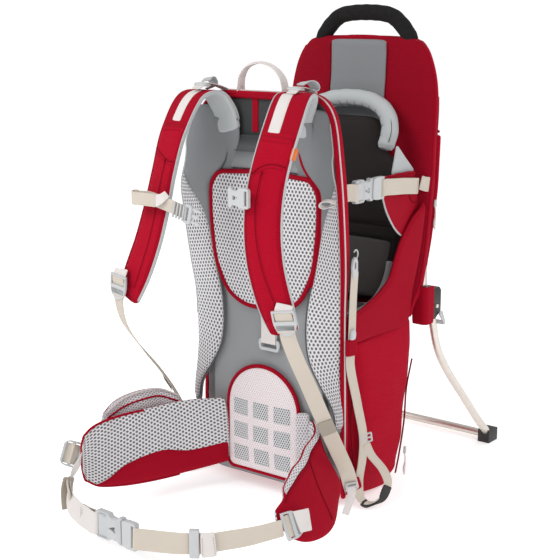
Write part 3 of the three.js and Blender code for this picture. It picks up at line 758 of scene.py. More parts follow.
def softened(node, bevel_mm=0.7, material="plastic", segments=2):
    """A copy of a rigid CAD node with rounded edges, standing for it."""
    source = frame["nodes"][node]
    data = source.data.copy()
    data.name = node + "_moulding"
    data.materials.clear()
    data.materials.append(M[material])
    shape = bmesh.new()
    shape.from_mesh(data)
    bmesh.ops.remove_doubles(shape, verts=shape.verts, dist=2e-5)
    bmesh.ops.dissolve_limit(shape, angle_limit=math.radians(2), verts=shape.verts, edges=shape.edges)
    shape.to_mesh(data)
    shape.free()
    data.polygons.foreach_set("use_smooth", [True] * len(data.polygons))
    piece = bpy.data.objects.new(node + "_moulding", data)
    bpy.context.scene.collection.objects.link(piece)
    modifier = piece.modifiers.new("edges", "BEVEL")
    modifier.width = bevel_mm * 0.001
    modifier.segments = segments
    modifier.limit_method = "ANGLE"
    modifier.angle_limit = math.radians(35)
    modifier.harden_normals = True
    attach(piece, source["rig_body"])
    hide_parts(node)
    return piece


# ---------------------------------------------------------------- moulded pieces
def moulding(name, outline, holes, thickness, place, material, body, replaces=(), bevel=0.8, bend=None):
    """A plate with holes and rounded edges; place is (origin, across, along) in millimetres."""
    curve = bpy.data.curves.new(name, "CURVE")
    curve.dimensions = "2D"
    curve.fill_mode = "BOTH"
    for loop in (outline, *holes):
        line = curve.splines.new("POLY")
        line.points.add(len(loop) - 1)
        line.points.foreach_set("co", [c for u, v in loop for c in (u * 0.001, v * 0.001, 0, 1)])
        line.use_cyclic_u = True
    curve.offset = -bevel * 0.001
    curve.bevel_depth = bevel * 0.001
    curve.bevel_resolution = 2
    curve.extrude = thickness * 0.0005 - bevel * 0.001
    shell = bpy.data.objects.new(name + "_outline", curve)
    bpy.context.scene.collection.objects.link(shell)
    data = bpy.data.meshes.new_from_object(shell.evaluated_get(bpy.context.evaluated_depsgraph_get()))
    bpy.data.objects.remove(shell)
    origin, across, along = place
    x = unit(across)
    y = unit(np.asarray(along, float) - x * (np.asarray(along, float) @ x))
    z = np.cross(x, y)
    for vertex in data.vertices:
        u, v, w = vertex.co
        if bend:
            w += bend(u * 1000, v * 1000) * 0.001
        vertex.co = metres(np.asarray(origin, float) + (x * u + y * v + z * w) * 1000)
    data.materials.clear()
    data.materials.append(M[material])
    shape = bmesh.new()
    shape.from_mesh(data)
    bmesh.ops.remove_doubles(shape, verts=shape.verts, dist=1e-5)
    bmesh.ops.recalc_face_normals(shape, faces=shape.faces)
    shape.to_mesh(data)
    shape.free()
    data.polygons.foreach_set("use_smooth", [True] * len(data.polygons))
    piece = bpy.data.objects.new(name, data)
    bpy.context.scene.collection.objects.link(piece)
    modifier = piece.modifiers.new("normals", "WEIGHTED_NORMAL")
    modifier.keep_sharp = False
    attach(piece, body)
    if replaces:
        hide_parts(*([replaces] if isinstance(replaces, str) else replaces))
    return piece


def box_hole(u0, v0, u1, v1, radius=1.0):
    return rounded([(u0, v0), (u1, v0), (u1, v1), (u0, v1)], radius, 2)[::-1]


def rods(name, lines, radius, material, body):
    """Short round bars, each from one point to another."""
    patch = Patch()
    for line in lines:
        part = tube_patch(line, radius, 10, through_spline=False)
        shift = len(patch.points)
        patch.points.extend(part.points)
        patch.faces.extend([[i + shift for i in face] for face in part.faces])
        patch.uvs.extend(part.uvs)
        patch.kinds.extend(part.kinds)
    return build(name, patch, material, body, subdivide=0)


# ---------------------------------------------------------------- frame tube, grip, stand
def mirror_path(side_points):
    side_points = [tuple(p) for p in side_points]
    return side_points + [(-x, y, z) for x, y, z in reversed(side_points) if x != 0]


FRAME_SIDE = [
    (160, 297, 363.2), (159, 301, 410), (157, 306, 460), (155, 312, 560), (151, 321, 700), (138, 328, 775),
    (116, 330, 808), (97, 330, 833), (80, 330, 853), (54, 330, 870)]
STAND_SIDE = [
    (161, 321, 336), (161, 331, 303), (164, 350, 236), (169, 376, 190), (178, 440, 112), (185, 490, 52),
    (187, 520, 22), (180, 532, 12), (160, 536, 10), (140, 537, 10), (0, 538, 10)]
GRIP_RADII = [12.5, 15.2] + [14.8, 15.4] * 9 + [14.8, 15.2, 12.5]


def make_frame():
    # The tube is slimmer where the padded panel covers it.
    tube = tube_patch(mirror_path(FRAME_SIDE), [10] + [6.5] * 26 + [10], 20, count=160)
    build("main_tube", tube, "metal", replaces="main_frame_tube", subdivide=0)
    # The padded panel covers the foot of each grip.
    grip_side = [(105, 330, 822), *FRAME_SIDE[7:]]
    grip = tube_patch(mirror_path(grip_side), GRIP_RADII, 22, count=110)
    build("foam_grip", grip, "foam", replaces="handle_grip", subdivide=0)
    stand = tube_patch(mirror_path(STAND_SIDE), 8, 20, count=190)
    build("stand_bow", stand, "metal", "stand", replaces="stand_tube", subdivide=0)
    for side, sign in SIDES:
        softened(f"hinge_housing_{side}", 2.2, "black", 3)
        softened(f"stand_foot_{side}", 4.0, "black", 4)
        softened(f"stand_lock_{side}", 0.8, "plastic")
        softened(f"hinge_pin_{side}", 0.6, "metal")
        # Red cloth wraps the front of the housing.
        around = [(148, 282, 332), (172, 281.5, 332), (178, 286, 332), (178.6, 296, 332), (178, 309, 332)]
        pouch = band([(sign * x, y, z) for x, y, z in around], 74, 3.2, (0, 0, 1), 24)
        build(f"housing_pouch_{side}", pouch.patch(PAD_SECTION), "red_plain")


# ---------------------------------------------------------------- rear panel
REAR_ROWS = [
    (312, 161, 240, 268), (340, 163, 247, 278), (368, 166.5, 257, 302), (400, 167, 268, 313),
    (453, 167, 281, 321), (500, 167, 287.5, 327), (547, 167, 294, 333), (600, 167, 300, 335),
    (650, 167, 304, 336), (700, 168, 308, 336), (735, 166, 311, 336.5), (757, 162, 313.5, 337),
    (775, 157, 314, 338), (790, 151, 314.5, 340), (803, 144, 314.5, 343), (815, 135, 314, 345),
    (827, 122, 314, 346)]


POCKET_ROWS = [
    (398, 160, 304, 315), (453, 163, 313, 327), (500, 164, 320, 335), (547, 165, 328, 342),
    (600, 165.5, 330, 345),
    (652, 166, 331, 347)]


def rear_panel():
    stations = [((0, (front + rear) / 2, z), (half, 0, 0), (rear - front) / 2) for z, half, front,
                rear in REAR_ROWS]
    return Strip(stations, 70)


def make_rear_panel():
    panel = rear_panel()
    # The wearer's side of the panel faces -Y, which is this strip's under side.
    front = -1 if panel.normal[35][1] > 0 else 1
    section = superellipse(40, 0.36, 0.55)
    # The wearer's face gets the darker red, painted shade for the shadowed inside of the panel.
    kinds = [0 if (k < 20) == (front > 0) else 1 for k in range(40)]
    shell = build("rear_panel_cloth", panel.patch(section, kinds, round_ends=5), ["red_painted_shade", "red"],
                  replaces="rear_panel")
    first, last, left_x, right_x = 0.50, 0.995, -70, 58

    def across_at(x):
        """Place across the panel of a line at constant X, along the lining."""
        return lambda f: x / np.interp((first + (last - first) * f) * (panel.count - 1),
                                       np.arange(panel.count), panel.width)
    strip = panel.overlay(first, last, across_at(left_x), across_at(right_x), 3.2, side=front, steps=40,
                          columns=14, edge=0.015)
    lining = build("rear_panel_lining", strip, "grey")
    for side, x in (("left", left_x - 1), ("right", right_x + 1)):
        seam = panel.trace([(first + (last - first) * f, across_at(x)(f)) for f in (0, 0.5, 0.8, 0.97)],
                           0.8, front)
        build(f"lining_seam_{side}", tube_patch(seam, 1.1, 6), "seam")
    top = [panel.point(0.93 + 0.07 * (1 - abs(k) ** 3), k * 0.97, 0.5, front) for k in np.linspace(-1, 1, 25)]
    piping("rear_panel_top_binding", [(p[0], p[1] + 6, p[2] + 2) for p in top], 4.2, "red_binding", count=90)
    for side, sign in SIDES:
        edge = [panel.point(t, sign * 0.995, 0.3, front) for t in np.linspace(0.02, 0.97, 40)]
        piping(f"rear_panel_piping_{side}", edge, 2.6, "red_binding", count=150)
        gusset = [panel.point(t, sign * 0.985, 1.4, -front) for t in np.linspace(0.05, 0.8, 40)]
        piping(f"rear_panel_zip_{side}", gusset, 1.7, "seam", count=150)
    # Flat pocket over the lower part of the panel's rear face.
    stations = [((0, (front_y + rear_y) / 2, z), (half, 0, 0), (rear_y - front_y) / 2)
                for z, half, front_y, rear_y in POCKET_ROWS]
    pocket = Strip(stations, 40)
    cloth = build("rear_pocket", pocket.patch(superellipse(40, 0.3, 0.6), round_ends=3), "red")
    top = [pocket.line[-1] + (x, 5.5, 4) for x in np.linspace(-160, 160, 12)]
    piping("rear_pocket_binding", top, 3.0, "red_binding", count=60)


# ---------------------------------------------------------------- cargo bag
BAG_ROWS = [
    (2, 62, 205), (12, 57, 213), (35, 47, 227), (68, 45.6, 240), (118, 45.6, 253), (170, 45.6, 266),
    (215, 45.6, 278), (246, 45.6, 281), (285, 45.6, 278), (309, 45.6, 276)]


def make_cargo_bag():
    stations = [((0, (front + rear) / 2, z), (165 if z > 20 else 158, 0, 0), (rear - front) / 2)
                for z, front, rear in BAG_ROWS]
    bag = Strip(stations, 46)
    section = superellipse(64, 0.24, 0.24)
    patch = bag.patch(section, round_ends=2)
    points = np.array(patch.points)
    points[:, 2] = np.maximum(points[:, 2], 0.4)
    # Slack cloth: shallow folds that run down and forward on the sides and the rear.
    x, y, z = points.T
    slack = np.sin(z / 310 * math.pi).clip(0, 1)
    fold = np.sin(y * 0.11 + z * 0.021) * 1.6 + np.sin(y * 0.043 - z * 0.034 + 1.0) * 2.2
    side = np.clip((abs(x) - 140) / 20, 0, 1) * np.sign(x)
    points[:, 0] += side * slack * (fold + 1.5)
    rear = np.clip((y - 190) / 40, 0, 1)
    points[:, 1] += rear * slack * (np.sin(x * 0.045 + z * 0.02) * 2.0)
    patch.points = [tuple(p) for p in points]
    cloth = build("cargo_bag_cloth", patch, "red", replaces="cargo_bag", inflate=(2.5, 4))

    def bag_side(y, z, sign, lift=1.0):
        fold_here = math.sin(y * 0.11 + z * 0.021) * 1.6 + math.sin(y * 0.043 - z * 0.034 + 1.0) * 2.2
        return (sign * (165 + max(0.0, math.sin(z / 310 * math.pi)) * (fold_here + 1.5) + lift), y, z)

    for side_name, sign in SIDES:
        seam = [bag_side(y, z, sign, 0.2) for y,
                z in ((206, 20), (216, 60), (228, 120), (242, 180), (255, 235))]
        piping(f"side_zip_{side_name}", seam, 1.8, "seam", count=80)
        front = [bag_side(y, z, sign, 0.2) for y, z in ((64, 24), (60, 80), (58, 150), (58, 230), (60, 300))]
        piping(f"bag_front_seam_{side_name}", front, 1.4, "seam", count=70)
        stitches(f"bag_stitching_{side_name}",
                 [spline([(x + sign * 1.2, y - 5, z) for x, y, z in seam], 80)], "thread")
    rim = [(x, 264, 302) for x in np.linspace(-150, 150, 12)]
    piping("bag_rear_seam", rim, 2.0, "seam", count=60)


SIDE_RIM = [
    (46, 350), (100, 364), (150, 384), (178, 404), (195, 435), (215, 468), (250, 502), (280, 520), (287, 528)]
SIDE_FOOT = [(46, 303), (110, 303), (180, 303), (232, 303), (246, 318), (252, 356), (281, 450), (289, 512)]


def make_side_walls():
    rim = spline([(0, y, z) for y, z in SIDE_RIM], 44)
    foot = spline([(0, y, z) for y, z in SIDE_FOOT], 44)
    for side, sign in SIDES:
        # A ribbon between rim and foot, with a slack outer face and a flat inner one.
        rows = []
        for top, low in zip(rim, foot):
            outer = [(sign * (166.6 + 1.5 * math.sin(math.pi * k / 7)), *(low + (top - low) * k / 7)[1:])
                     for k in range(8)]
            inner = [(sign * 159.8, *(low + (top - low) * k / 7)[1:]) for k in range(7, -1, -1)]
            rows.append(outer + inner)
        patch = Patch()
        patch.grid(rows, around=True)
        patch.fan(rows[0])
        patch.fan(rows[-1])
        wall = build(f"side_wall_cloth_{side}", patch, "red_plain", replaces=f"side_wall_{side}")
        binding = [(sign * 163, y, z) for y, z in SIDE_RIM]
        piping(f"leg_opening_binding_{side}", binding, 3.4, "red_binding", count=90)


# ---------------------------------------------------------------- front shell
EDGE_ROWS = [
    (20, 165, 36, 45), (50, 165, 35, 45), (150, 168, 30, 45), (250, 165, 33, 45), (350, 163, 34, 45),
    (450, 172, 20, 38), (560, 176, 5, 26), (620, 170, 5, 26), (700, 150, 15, 34)]


def edge_at(z):
    heights = [row[0] for row in EDGE_ROWS]
    return [float(np.interp(z, heights, [row[k] for row in EDGE_ROWS])) for k in (1, 2)]


LOBE_INNER = [
    (150, 158), (192, 150), (236, 122), (275, 100), (317, 93), (370, 97), (420, 110), (489, 124), (528, 126),
    (560, 127), (584, 121), (604, 102), (630, 82), (678, 80), (712, 88)]


def lobe(sign):
    stations = []
    for z, inner in LOBE_INNER:
        half, front = edge_at(z)
        # The left lobe wraps forward over its edge, so that only the right one shows the red trim.
        outer, forward = (half - 8, front + 5) if sign > 0 else (half + 3, front - 8)
        low = np.array((sign * inner, 17.5, z))
        high = np.array((sign * outer, forward, z))
        stations.append(((low + high) / 2, (high - low) / 2, 6.0 if z > 200 else 5.0))
    return Strip(stations, 60)


def make_shell():
    board = rounded([(-127, 24), (127, 24), (127, 690), (112, 718), (95, 729), (-95, 729), (-112, 718),
                     (-127, 690)],
                    14, 3)
    patch = pillow(dense_outline(board, 24), in_xz, 22.5, 44.5, crown_front=1.2, edge=4)
    cloth = build("back_board_cloth", patch, "board", replaces="back_board")
    tab = pillow(dense_outline(rounded([(-30, 668), (-17, 668), (-17, 727), (-30, 727)], 2, 2), 8), in_xz,
                 20.6, 22.6, crown_front=0.6, edge=0.8)
    build("board_red_strip", tab, "red_binding")
    piping("board_top_bar", [(-106, 24, 722), (-90, 22, 729), (0, 21, 731), (90, 22, 729), (106, 24, 722)],
           5.0,
           "red_binding", count=80)
    for side, sign in SIDES:
        shape = lobe(sign)
        outward = 1 if shape.normal[30][1] < 0 else -1
        section = PAD_SECTION
        base = build(f"side_lobe_cloth_{side}", shape.patch(section, round_ends=2), "grey",
                     replaces=f"side_lobe_{side}")

        def inner(f):
            # The mesh panel starts in an arch at its top and follows the inner edge below it.
            top = min(1.0, (1 - f) / 0.26)
            return 0.96 - 1.90 * math.sin(top * math.pi / 2) ** 0.9
        face = shape.overlay(0.01, 0.765, inner, 0.97, 3.0, side=outward, steps=64, columns=14, edge=0.02)
        panel = build(f"side_lobe_mesh_{side}", face, "mesh")
        line = [shape.point(t, -0.99, 0.4, outward) for t in np.linspace(0.02, 0.97, 50)]
        if sign > 0:
            piping("lobe_piping_right", line[22:], 3.2, "red_binding", count=110)
            piping("lobe_piping_right_lower", line[:23], 1.6, "grey_seam", count=90)
        else:
            piping("lobe_piping_left", line, 1.8, "grey_seam", count=150)
        outer = [shape.point(t, 0.985, 0.8, outward) for t in np.linspace(0.3, 0.97, 50)]
        piping(f"lobe_outer_piping_{side}", outer, 1.8, "pale_binding" if sign > 0 else "light_grey",
               count=150)
        # Grey cloth between the board and the narrow foot of the lobe.
        foot = dense_outline(rounded([(124, 27), (156, 27), (156, 330), (124, 330)], 4, 2), 20) * (sign, 1)
        fill = pillow(foot, in_xz, 38.5, 43.5, crown_front=0.5, edge=2)
        build(f"board_side_{side}", fill, "board")
    make_trim()


def make_trim():
    top_rows = [(128, 17, 38, 724), (100, 19, 45, 735), (50, 19, 45, 736)]
    side_rows = [(half - 4, front, rear, z) for z, half, front, rear in EDGE_ROWS] + top_rows
    rows = [((x, (front + rear) / 2, z), (0, (rear - front) / 2, 0), 4.0) for x, front, rear, z in side_rows]
    # On the left the lobe covers the front half of the trim.
    for x, front, rear, z in reversed(side_rows):
        hidden = 11 if z < 700 else 0
        rows.append(((-x, (front + hidden + rear) / 2, z), (0, (rear - front - hidden) / 2, 0), 4.0))
    trim = Strip(rows, 150)
    cloth = build("edge_trim_cloth", trim.patch(PAD_SECTION), "red", replaces="edge_trim")
    front = -1 if trim.across[75][1] > 0 else 1
    outside = 1 if trim.normal[20][0] > 0 else -1
    edge = [trim.point(t, 0.99 * front, 0.0) for t in np.linspace(0.02, 0.62, 90)]
    piping("edge_binding", edge, 2.4, "red_binding", count=220)
    pale = [trim.point(t, 0.55 * front, 0.4, outside) for t in np.linspace(0.03, 0.60, 90)]
    piping("edge_pale_binding", pale, 1.6, "pale_binding", count=220)


def make_back_pads():
    arch = [(-72, 40), (72, 40), (80, 48)]
    arch += [(80 * math.cos(math.pi * k / 14), 164 + 80 * math.sin(math.pi * k / 14)) for k in range(15)]
    arch += [(-80, 48)]
    outline = dense_outline(np.array(arch), 12)
    pad = build("lumbar_pad_mesh", pillow(outline * (1.02, 1.0), in_xz, 9.5, 21, crown_front=6, edge=5,
                                          rings=PAD_RINGS), "windows",
                replaces="lumbar_pad", subdivide=2)
    loop = np.array([(x * 1.03, 12.0, z) for x, z in outline])
    closed = np.vstack([loop, loop[:2]])
    piping("lumbar_piping", closed, 4.2, "red_binding", count=220)
    mid = rounded([(-44, 354), (44, 354), (84, 376), (112, 432), (122, 520), (121, 572), (104, 594), (0, 601),
                   (-104, 594), (-121, 572), (-122, 520), (-112, 432), (-84, 376)], 26, 4)
    mid = dense_outline(mid, 12)
    cushion = build("mid_back_mesh", pillow(mid, in_xz, 12, 21, crown_front=7, edge=5,
                                            rings=PAD_RINGS), "mesh", "back_system",
                    replaces="mid_back_pad", subdivide=2)
    loop = np.array([(x, 13.5, z) for x, z in mid])
    piping("mid_back_piping", np.vstack([loop, loop[:2]]), 4.6, "red_binding", "back_system", count=260)
    yoke = dense_outline(rounded([(-92, 603), (92, 603), (92, 664), (-92, 664)], 5, 3), 10)
    panel = build("yoke_panel_cloth", pillow(yoke, in_xz, 16.5, 21.6, crown_front=2.0, edge=2.5), "board",
                  "back_system", replaces="yoke_panel")
    piping("yoke_seam", [(-90, 14.2, 634), (0, 13.4, 636), (90, 14.2, 634)], 0.9, "grey_seam",
           "back_system", count=40)
    stitches("yoke_stitching", [[(-88, 14.0, 639), (0, 13.2, 641), (88, 14.0, 639)]], "grey_seam",
             "back_system")
    # Cream tab from under the pad, folded through the ring that sets the back length.
    tab_line = [(8, 19, 356), (12, 16.5, 328), (14, 13, 294), (14, 9.4, 289), (14, 9.6, 298), (12, 12.5, 328),
                (8, 13.5, 350)]
    tab = band(tab_line, 33, 1.8, (1, 0, 0), 40)
    build("back_length_tab", tab.patch(), "webbing_pale", "back_system")
    ring = rounded([(-24.5, 0), (-21, -15), (21, -15), (24.5, 0), (21, 7), (-21, 7)], 5, 4)
    moulding("back_length_ring_moulding", ring, [box_hole(-17.6, -9, 17.6, -1.5)], 4,
             ((14, 12.5, 291), (1, 0, 0), (0, 0, 1)), "plastic", "back_system", "back_length_ring", 1.2)


# ---------------------------------------------------------------- shoulder straps
STRAP_PATHS = {
    "right": [(76, 13, 670), (84, 8, 708), (97, -8, 735), (108, -40, 737), (112, -75, 690), (112, -112, 610),
              (113, -127, 540), (116, -124, 470), (124, -108, 400), (134, -96, 354)],
    "left": [(-76, 13, 670), (-86, 8, 708), (-100, -8, 733), (-116, -38, 731), (-128, -72, 676),
             (-124, -108, 600),
             (-124, -128, 540), (-137, -138, 480), (-158, -144, 425), (-178, -148, 380)],
}
STRAP_ACROSS = {
    "right": ((1, 0, 0), (0.98, 0.2, 0), (0.95, 0.3, 0.1)),
    "left": ((1, 0, 0), (0.97, -0.24, 0), (0.92, -0.1, -0.33)),
}


def strap(side):
    path = STRAP_PATHS[side]
    first, middle, last = STRAP_ACROSS[side]
    acrosses = between(first, middle, 6)[:5] + between(middle, last, 5)
    widths = [52, 58, 66, 70, 71, 70, 70, 69, 66, 54]
    return band(path, widths, 12.5, acrosses, 90)


def make_strap(side, sign):
    shape = strap(side)
    columns = PAD_SECTION.shape[0]
    # Outer face red, edges and the face against the wearer light grey.
    kinds = [0 if 1 <= k < columns // 2 - 1 else 1 for k in range(columns)]
    name = f"shoulder_strap_{side}"
    pad = build(name + "_pad", shape.patch(PAD_SECTION, kinds, round_ends=4), ["red_plain", "light_grey"],
                "back_system", replaces=name)
    inner = -sign
    # The lower panel of the outer face is a second, fuller layer below the shaped seam.
    lower = shape.overlay(0.475, 0.985, -0.86, 0.86, 2.2, steps=48, columns=12, edge=0.06)
    build(name + "_outer", lower, "red", "back_system")
    upper = shape.overlay(0.345, 0.485, -0.86, 0.86, 1.6, steps=16, columns=12, edge=0.12)
    build(name + "_cap", upper, "red", "back_system")
    if side == "right":
        strip = shape.overlay(0.20, 0.352, -0.60, 0.04, 1.2, steps=16, columns=6, edge=0.05)
        arc = [(0.488, -0.86), (0.462, -0.4), (0.45, 0.1), (0.452, 0.86)]
        dart = [(0.475, -0.30), (0.58, -0.34), (0.72, -0.22), (0.86, 0.02), (0.96, 0.16)]
        hem = 0.352
    else:
        strip = shape.overlay(0.19, 0.33, -0.30, 0.36, 1.2, steps=16, columns=6, edge=0.05)
        arc = [(0.43, -0.86), (0.46, -0.2), (0.485, 0.4), (0.49, 0.86)]
        dart = [(0.475, 0.18), (0.60, 0.20), (0.74, 0.26), (0.88, 0.32), (0.95, 0.40)]
        hem = 0.342
    build(name + "_reinforcement", strip, "webbing_pale", "back_system")
    fold = shape.overlay(hem, hem + 0.022, -0.88, 0.88, 1.6, steps=6, columns=12, edge=0.3)
    build(name + "_hem", fold, "red_binding", "back_system")
    build(name + "_arc_seam", tube_patch(shape.trace(arc, 2.0), 1.0, 6), "seam", "back_system")
    build(name + "_dart_seam", tube_patch(shape.trace(dart, 2.3), 1.0, 6), "seam", "back_system")
    rows = [shape.trace([(t + 0.012, a) for t, a in arc], 2.3),
            shape.trace([(t, a + 0.09) for t, a in dart], 2.5),
            shape.trace([(hem + 0.026, -0.84), (hem + 0.026, 0), (hem + 0.026, 0.84)], 2.1),
            shape.trace([(0.50, -0.80), (0.7, -0.80), (0.96, -0.80)], 1.6),
            shape.trace([(0.50, 0.80), (0.7, 0.80), (0.96, 0.80)], 1.6),
            shape.trace([(0.945, -0.7), (0.945, 0), (0.945, 0.7)], 2.2)]
    stitches(name + "_stitching", rows, "thread", "back_system")
    for edge in (-1, 1):
        line = [shape.point(t, edge * 0.97, 0.2, 1) for t in np.linspace(0.03, 0.985, 80)]
        material = "light_grey" if edge == inner or side == "right" else "red_binding"
        piping(f"{name}_edge_{'inner' if edge == inner else 'outer'}", line, 1.3, material, "back_system",
               200)
    # Grey root of the strap, running down behind the mid back pad.
    root = band([(sign * 98, 20, 598), (sign * 92, 17, 630), (sign * 82, 13, 662), (sign * 82, 9, 694)],
                [48, 56, 58, 56], 8, (1, 0, 0), 24)
    build(name + "_root", root.patch(PAD_SECTION), "grey", "back_system")
    if side == "right":
        tab = shape.overlay(0.385, 0.425, 0.90, 1.16, 0.8, lift=0.4, steps=6, columns=4, edge=0.1)
        build(name + "_orange_tab", tab, "orange", "back_system")


def ladder_outline(webbing, length, half_round=False):
    half = webbing / 2 + 4
    if half_round:
        arc = [(half * math.cos(a), length * 0.42 + length * 0.62 * math.sin(a))
               for a in np.linspace(0, math.pi, 15)]
        return np.array([(-half, 0), (half, 0), *arc])
    return rounded([(-half, 0), (half, 0), (half, length * 0.7), (half - 6, length), (-half + 6, length),
                    (-half, length * 0.7)], 4, 4)


def ladder_lock(node, webbing, length, thickness, origin, across, along, body, half_round=False):
    slot = webbing / 2 + 0.6
    bar = length / 2
    holes = [box_hole(-slot, 4, slot, bar - 3),
             box_hole(-slot, bar + 2, slot, length - 5 - (3 if half_round else 0))]
    place = (origin, across, along)
    moulding(node + "_moulding", ladder_outline(webbing, length, half_round), holes, thickness, place,
             "plastic",
             body, node, 1.2)
    x = unit(across)
    y = unit(np.asarray(along, float) - x * (np.asarray(along, float) @ x))
    z = np.cross(x, y)
    # Webbing woven over the middle bar, and two round bars raised on the plate.
    profile = [(3.5, -2.2), (bar - 3.5, 1.0), (bar - 0.5, thickness / 2 + 2.0), (bar + 2.5, 1.0),
               (length - 4.5, -2.2)]
    path = [np.asarray(origin, float) + y * v + z * w for v, w in profile]
    build(node + "_webbing", band(path, webbing - 2, 1.7, across, 24).patch(), "webbing", body)
    bars = [[np.asarray(origin, float) - x * slot + y * v + z * (thickness / 2 + 0.3),
             np.asarray(origin, float) + x * slot + y * v + z * (thickness / 2 + 0.3)] for v in (2.0,
                                                                                                 bar - 1.6)]
    rods(node + "_bars", bars, 1.5, "plastic", body)


LOWER_PATHS = {
    "right": [(152, -110, 348), (159, -94, 305), (166, -74, 262), (173, -46, 204), (180, -12, 138),
              (182, 20, 83), (180, 42, 38)],
    "left": [(-191, -161, 372), (-190, -150, 330), (-184, -116, 280), (-178, -66, 220), (-173, -26, 160),
             (-172, 4, 100), (-171, 26, 48)],
}
STRAP_ENDS = {
    "right": {"lock": (148, -121, 396), "down": (0.08, 0.22, -1), "across": (0.96, 0.26, 0.13)},
    "left": {"lock": (-187, -163, 420), "down": (-0.08, 0.02, -1), "across": (0.96, -0.1, -0.1)},
}


def make_strap_ends(side, sign):
    ends = STRAP_ENDS[side]
    path = [np.asarray(p, float) for p in LOWER_PATHS[side]]
    lock = np.asarray(ends["lock"], float)
    acrosses = between(ends["across"], (0.55, 0.8 * sign, 0.3 * sign), len(path) + 1)
    start = lock + unit(ends["down"]) * 36 + np.array((0, 1.0, 0))
    webbing = band([start, *path], 28, 2, acrosses, 60)
    piece = build(f"lower_webbing_{side}_cloth", webbing.patch(), "webbing", ride=False)
    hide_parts(f"lower_webbing_{side}")
    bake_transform(piece)
    # Painted shade: the fold of the lower webbing is a darker band of the cream webbing.
    fold = band([webbing.point(t, 0, 2.0) for t in (0.52, 0.56, 0.60)], 28.6, 1.2, webbing.across[32], 8)
    seam = build(f"lower_webbing_{side}_fold", fold.patch(), "webbing_painted_shade", ride=False)
    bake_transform(seam)
    ladder_lock(f"strap_lock_{side}", 34, 44, 5, ends["lock"], ends["across"], ends["down"],
                f"strap_lock_{side}",
                half_round=True)
    # Padded end of the strap that holds the lock, with the webbing stitched to it.
    tongue = band([lock + np.array((0, 7.0, 10)), lock + np.array((0, 3.5, 3)),
                   lock + unit(ends["down"]) * 6], 33,
                  2.4, ends["across"], 12)
    build(f"strap_tongue_{side}", tongue.patch(), "webbing_pale", f"strap_lock_{side}")
    corner = np.asarray(LOWER_PATHS[side][-1], float)
    patch = band([corner + (0, -6, 22), corner + (0, 4, 2), corner + (-sign * 12, 16, -6)], 34, 5,
                 between((0.5, 0.8 * sign, 0.3 * sign), (0.3, 0.9 * sign, 0.2 * sign), 3), 14)
    build(f"corner_patch_{side}", patch.patch(PAD_SECTION), "red_binding")
    # Load lifter: lock on the strap, webbing back to the top of the shell, folded grey tail.
    ladder_lock(f"load_lifter_lock_{side}", 20, 20, 4, (sign * 104, -36, 751), (1, 0, 0), (0, 1, -0.06),
                "back_system")
    web = band([(sign * 105, -44, 744.5), (sign * 105, -38, 747), (sign * 104, -28, 753),
                (sign * 103, -14, 753),
                (sign * 101, 8, 748), (sign * 98, 28, 741)], 20, 2, (1, 0, 0), 30)
    lifter = build(f"load_lifter_webbing_{side}", web.patch(), "webbing_pale", ride=False)
    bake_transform(lifter)
    tail = band([(sign * 104, -18, 757), (sign * 108, -4, 762), (sign * 112, 8, 759), (sign * 113, 14, 750),
                 (sign * 112, 8, 744), (sign * 110, -2, 746)], 20, 2,
                 between((1, 0, 0.1), (0.9, 0.1, 0.4), 6), 34)
    build(f"load_lifter_tail_{side}", tail.patch(), "light_grey", "back_system")


def make_grab_loop():
    # The loop stands a little to the left of the middle.
    arch = [(x * 0.76 - 14, y, z) for x, y, z in
            mirror_path([(66, 31, 745), (60, 29, 764), (40, 26, 781), (0, 25, 789)])]
    loop = band(arch, [20, 19, 15, 13, 15, 19, 20], 2.4, (0, 1, 0), 60)
    build("grab_loop_webbing", loop.patch(), "webbing_pale", "grab_loop", replaces="grab_loop")
    folded = band([(x, y, z + 2.0) for x, y, z in arch[1:-1]], 9, 2.2, (0, 1, 0), 50)
    build("grab_loop_fold", folded.patch(PAD_SECTION), "webbing_pale", "grab_loop")
    for side, (x, y, z) in (("left", arch[-1]), ("right", arch[0])):
        foot = band([(x, y, z + 2), (x, y, z - 7), (x, y - 1, z - 17)], 22, 2.2, (0, 1, 0), 10)
        build(f"grab_loop_foot_{side}", foot.patch(), "webbing_pale")


# ---------------------------------------------------------------- side-release buckles
def socket(node, webbing, length, thickness, origin, across, along, body, hole=True):
    half = webbing / 2 + 5
    waist = min(6.0, half * 0.3)
    side = [(half - 1.5, 0), (half, 2), (half, 0.13 * length), (half - waist * 0.8, 0.20 * length),
            (half - waist, 0.32 * length), (half - waist * 0.8, 0.45 * length), (half, 0.53 * length),
            (half, length - 4), (half - 3, length)]
    outline = np.array(side + [(-u, v) for u, v in reversed(side)])
    holes = [box_hole(-webbing / 2, length - 8, webbing / 2, length - 4, 1.2)]
    if hole:
        base, tip = 0.24 * length, 0.48 * length
        holes.append(rounded([(-webbing * 0.16, base), (webbing * 0.16, base), (0, tip)], 1.5, 2)[::-1])
    place = (origin, across, along)
    moulding(node + "_moulding", outline, holes, thickness, place, "plastic", body, node, 1.6,
             bend=lambda u, v: -0.004 * u * u * (1 if thickness > 9 else 0))
    x = unit(across)
    y = unit(np.asarray(along, float) - x * (np.asarray(along, float) @ x))
    z = np.cross(x, y)
    o = np.asarray(origin, float)
    rails = [[o + x * u + y * (0.58 * length) + z * (thickness / 2 - 0.2),
              o + x * u + y * (length - 10) + z * (thickness / 2 - 0.2)] for u in (-half + 4, half - 4)]
    lip = [[o + x * (-half + 3) + y * 1.6 + z * (thickness / 2 - 0.1),
            o + x * (half - 3) + y * 1.6 + z * (thickness / 2 - 0.1)]]
    rods(node + "_rails", rails + lip, 1.0, "plastic", body)


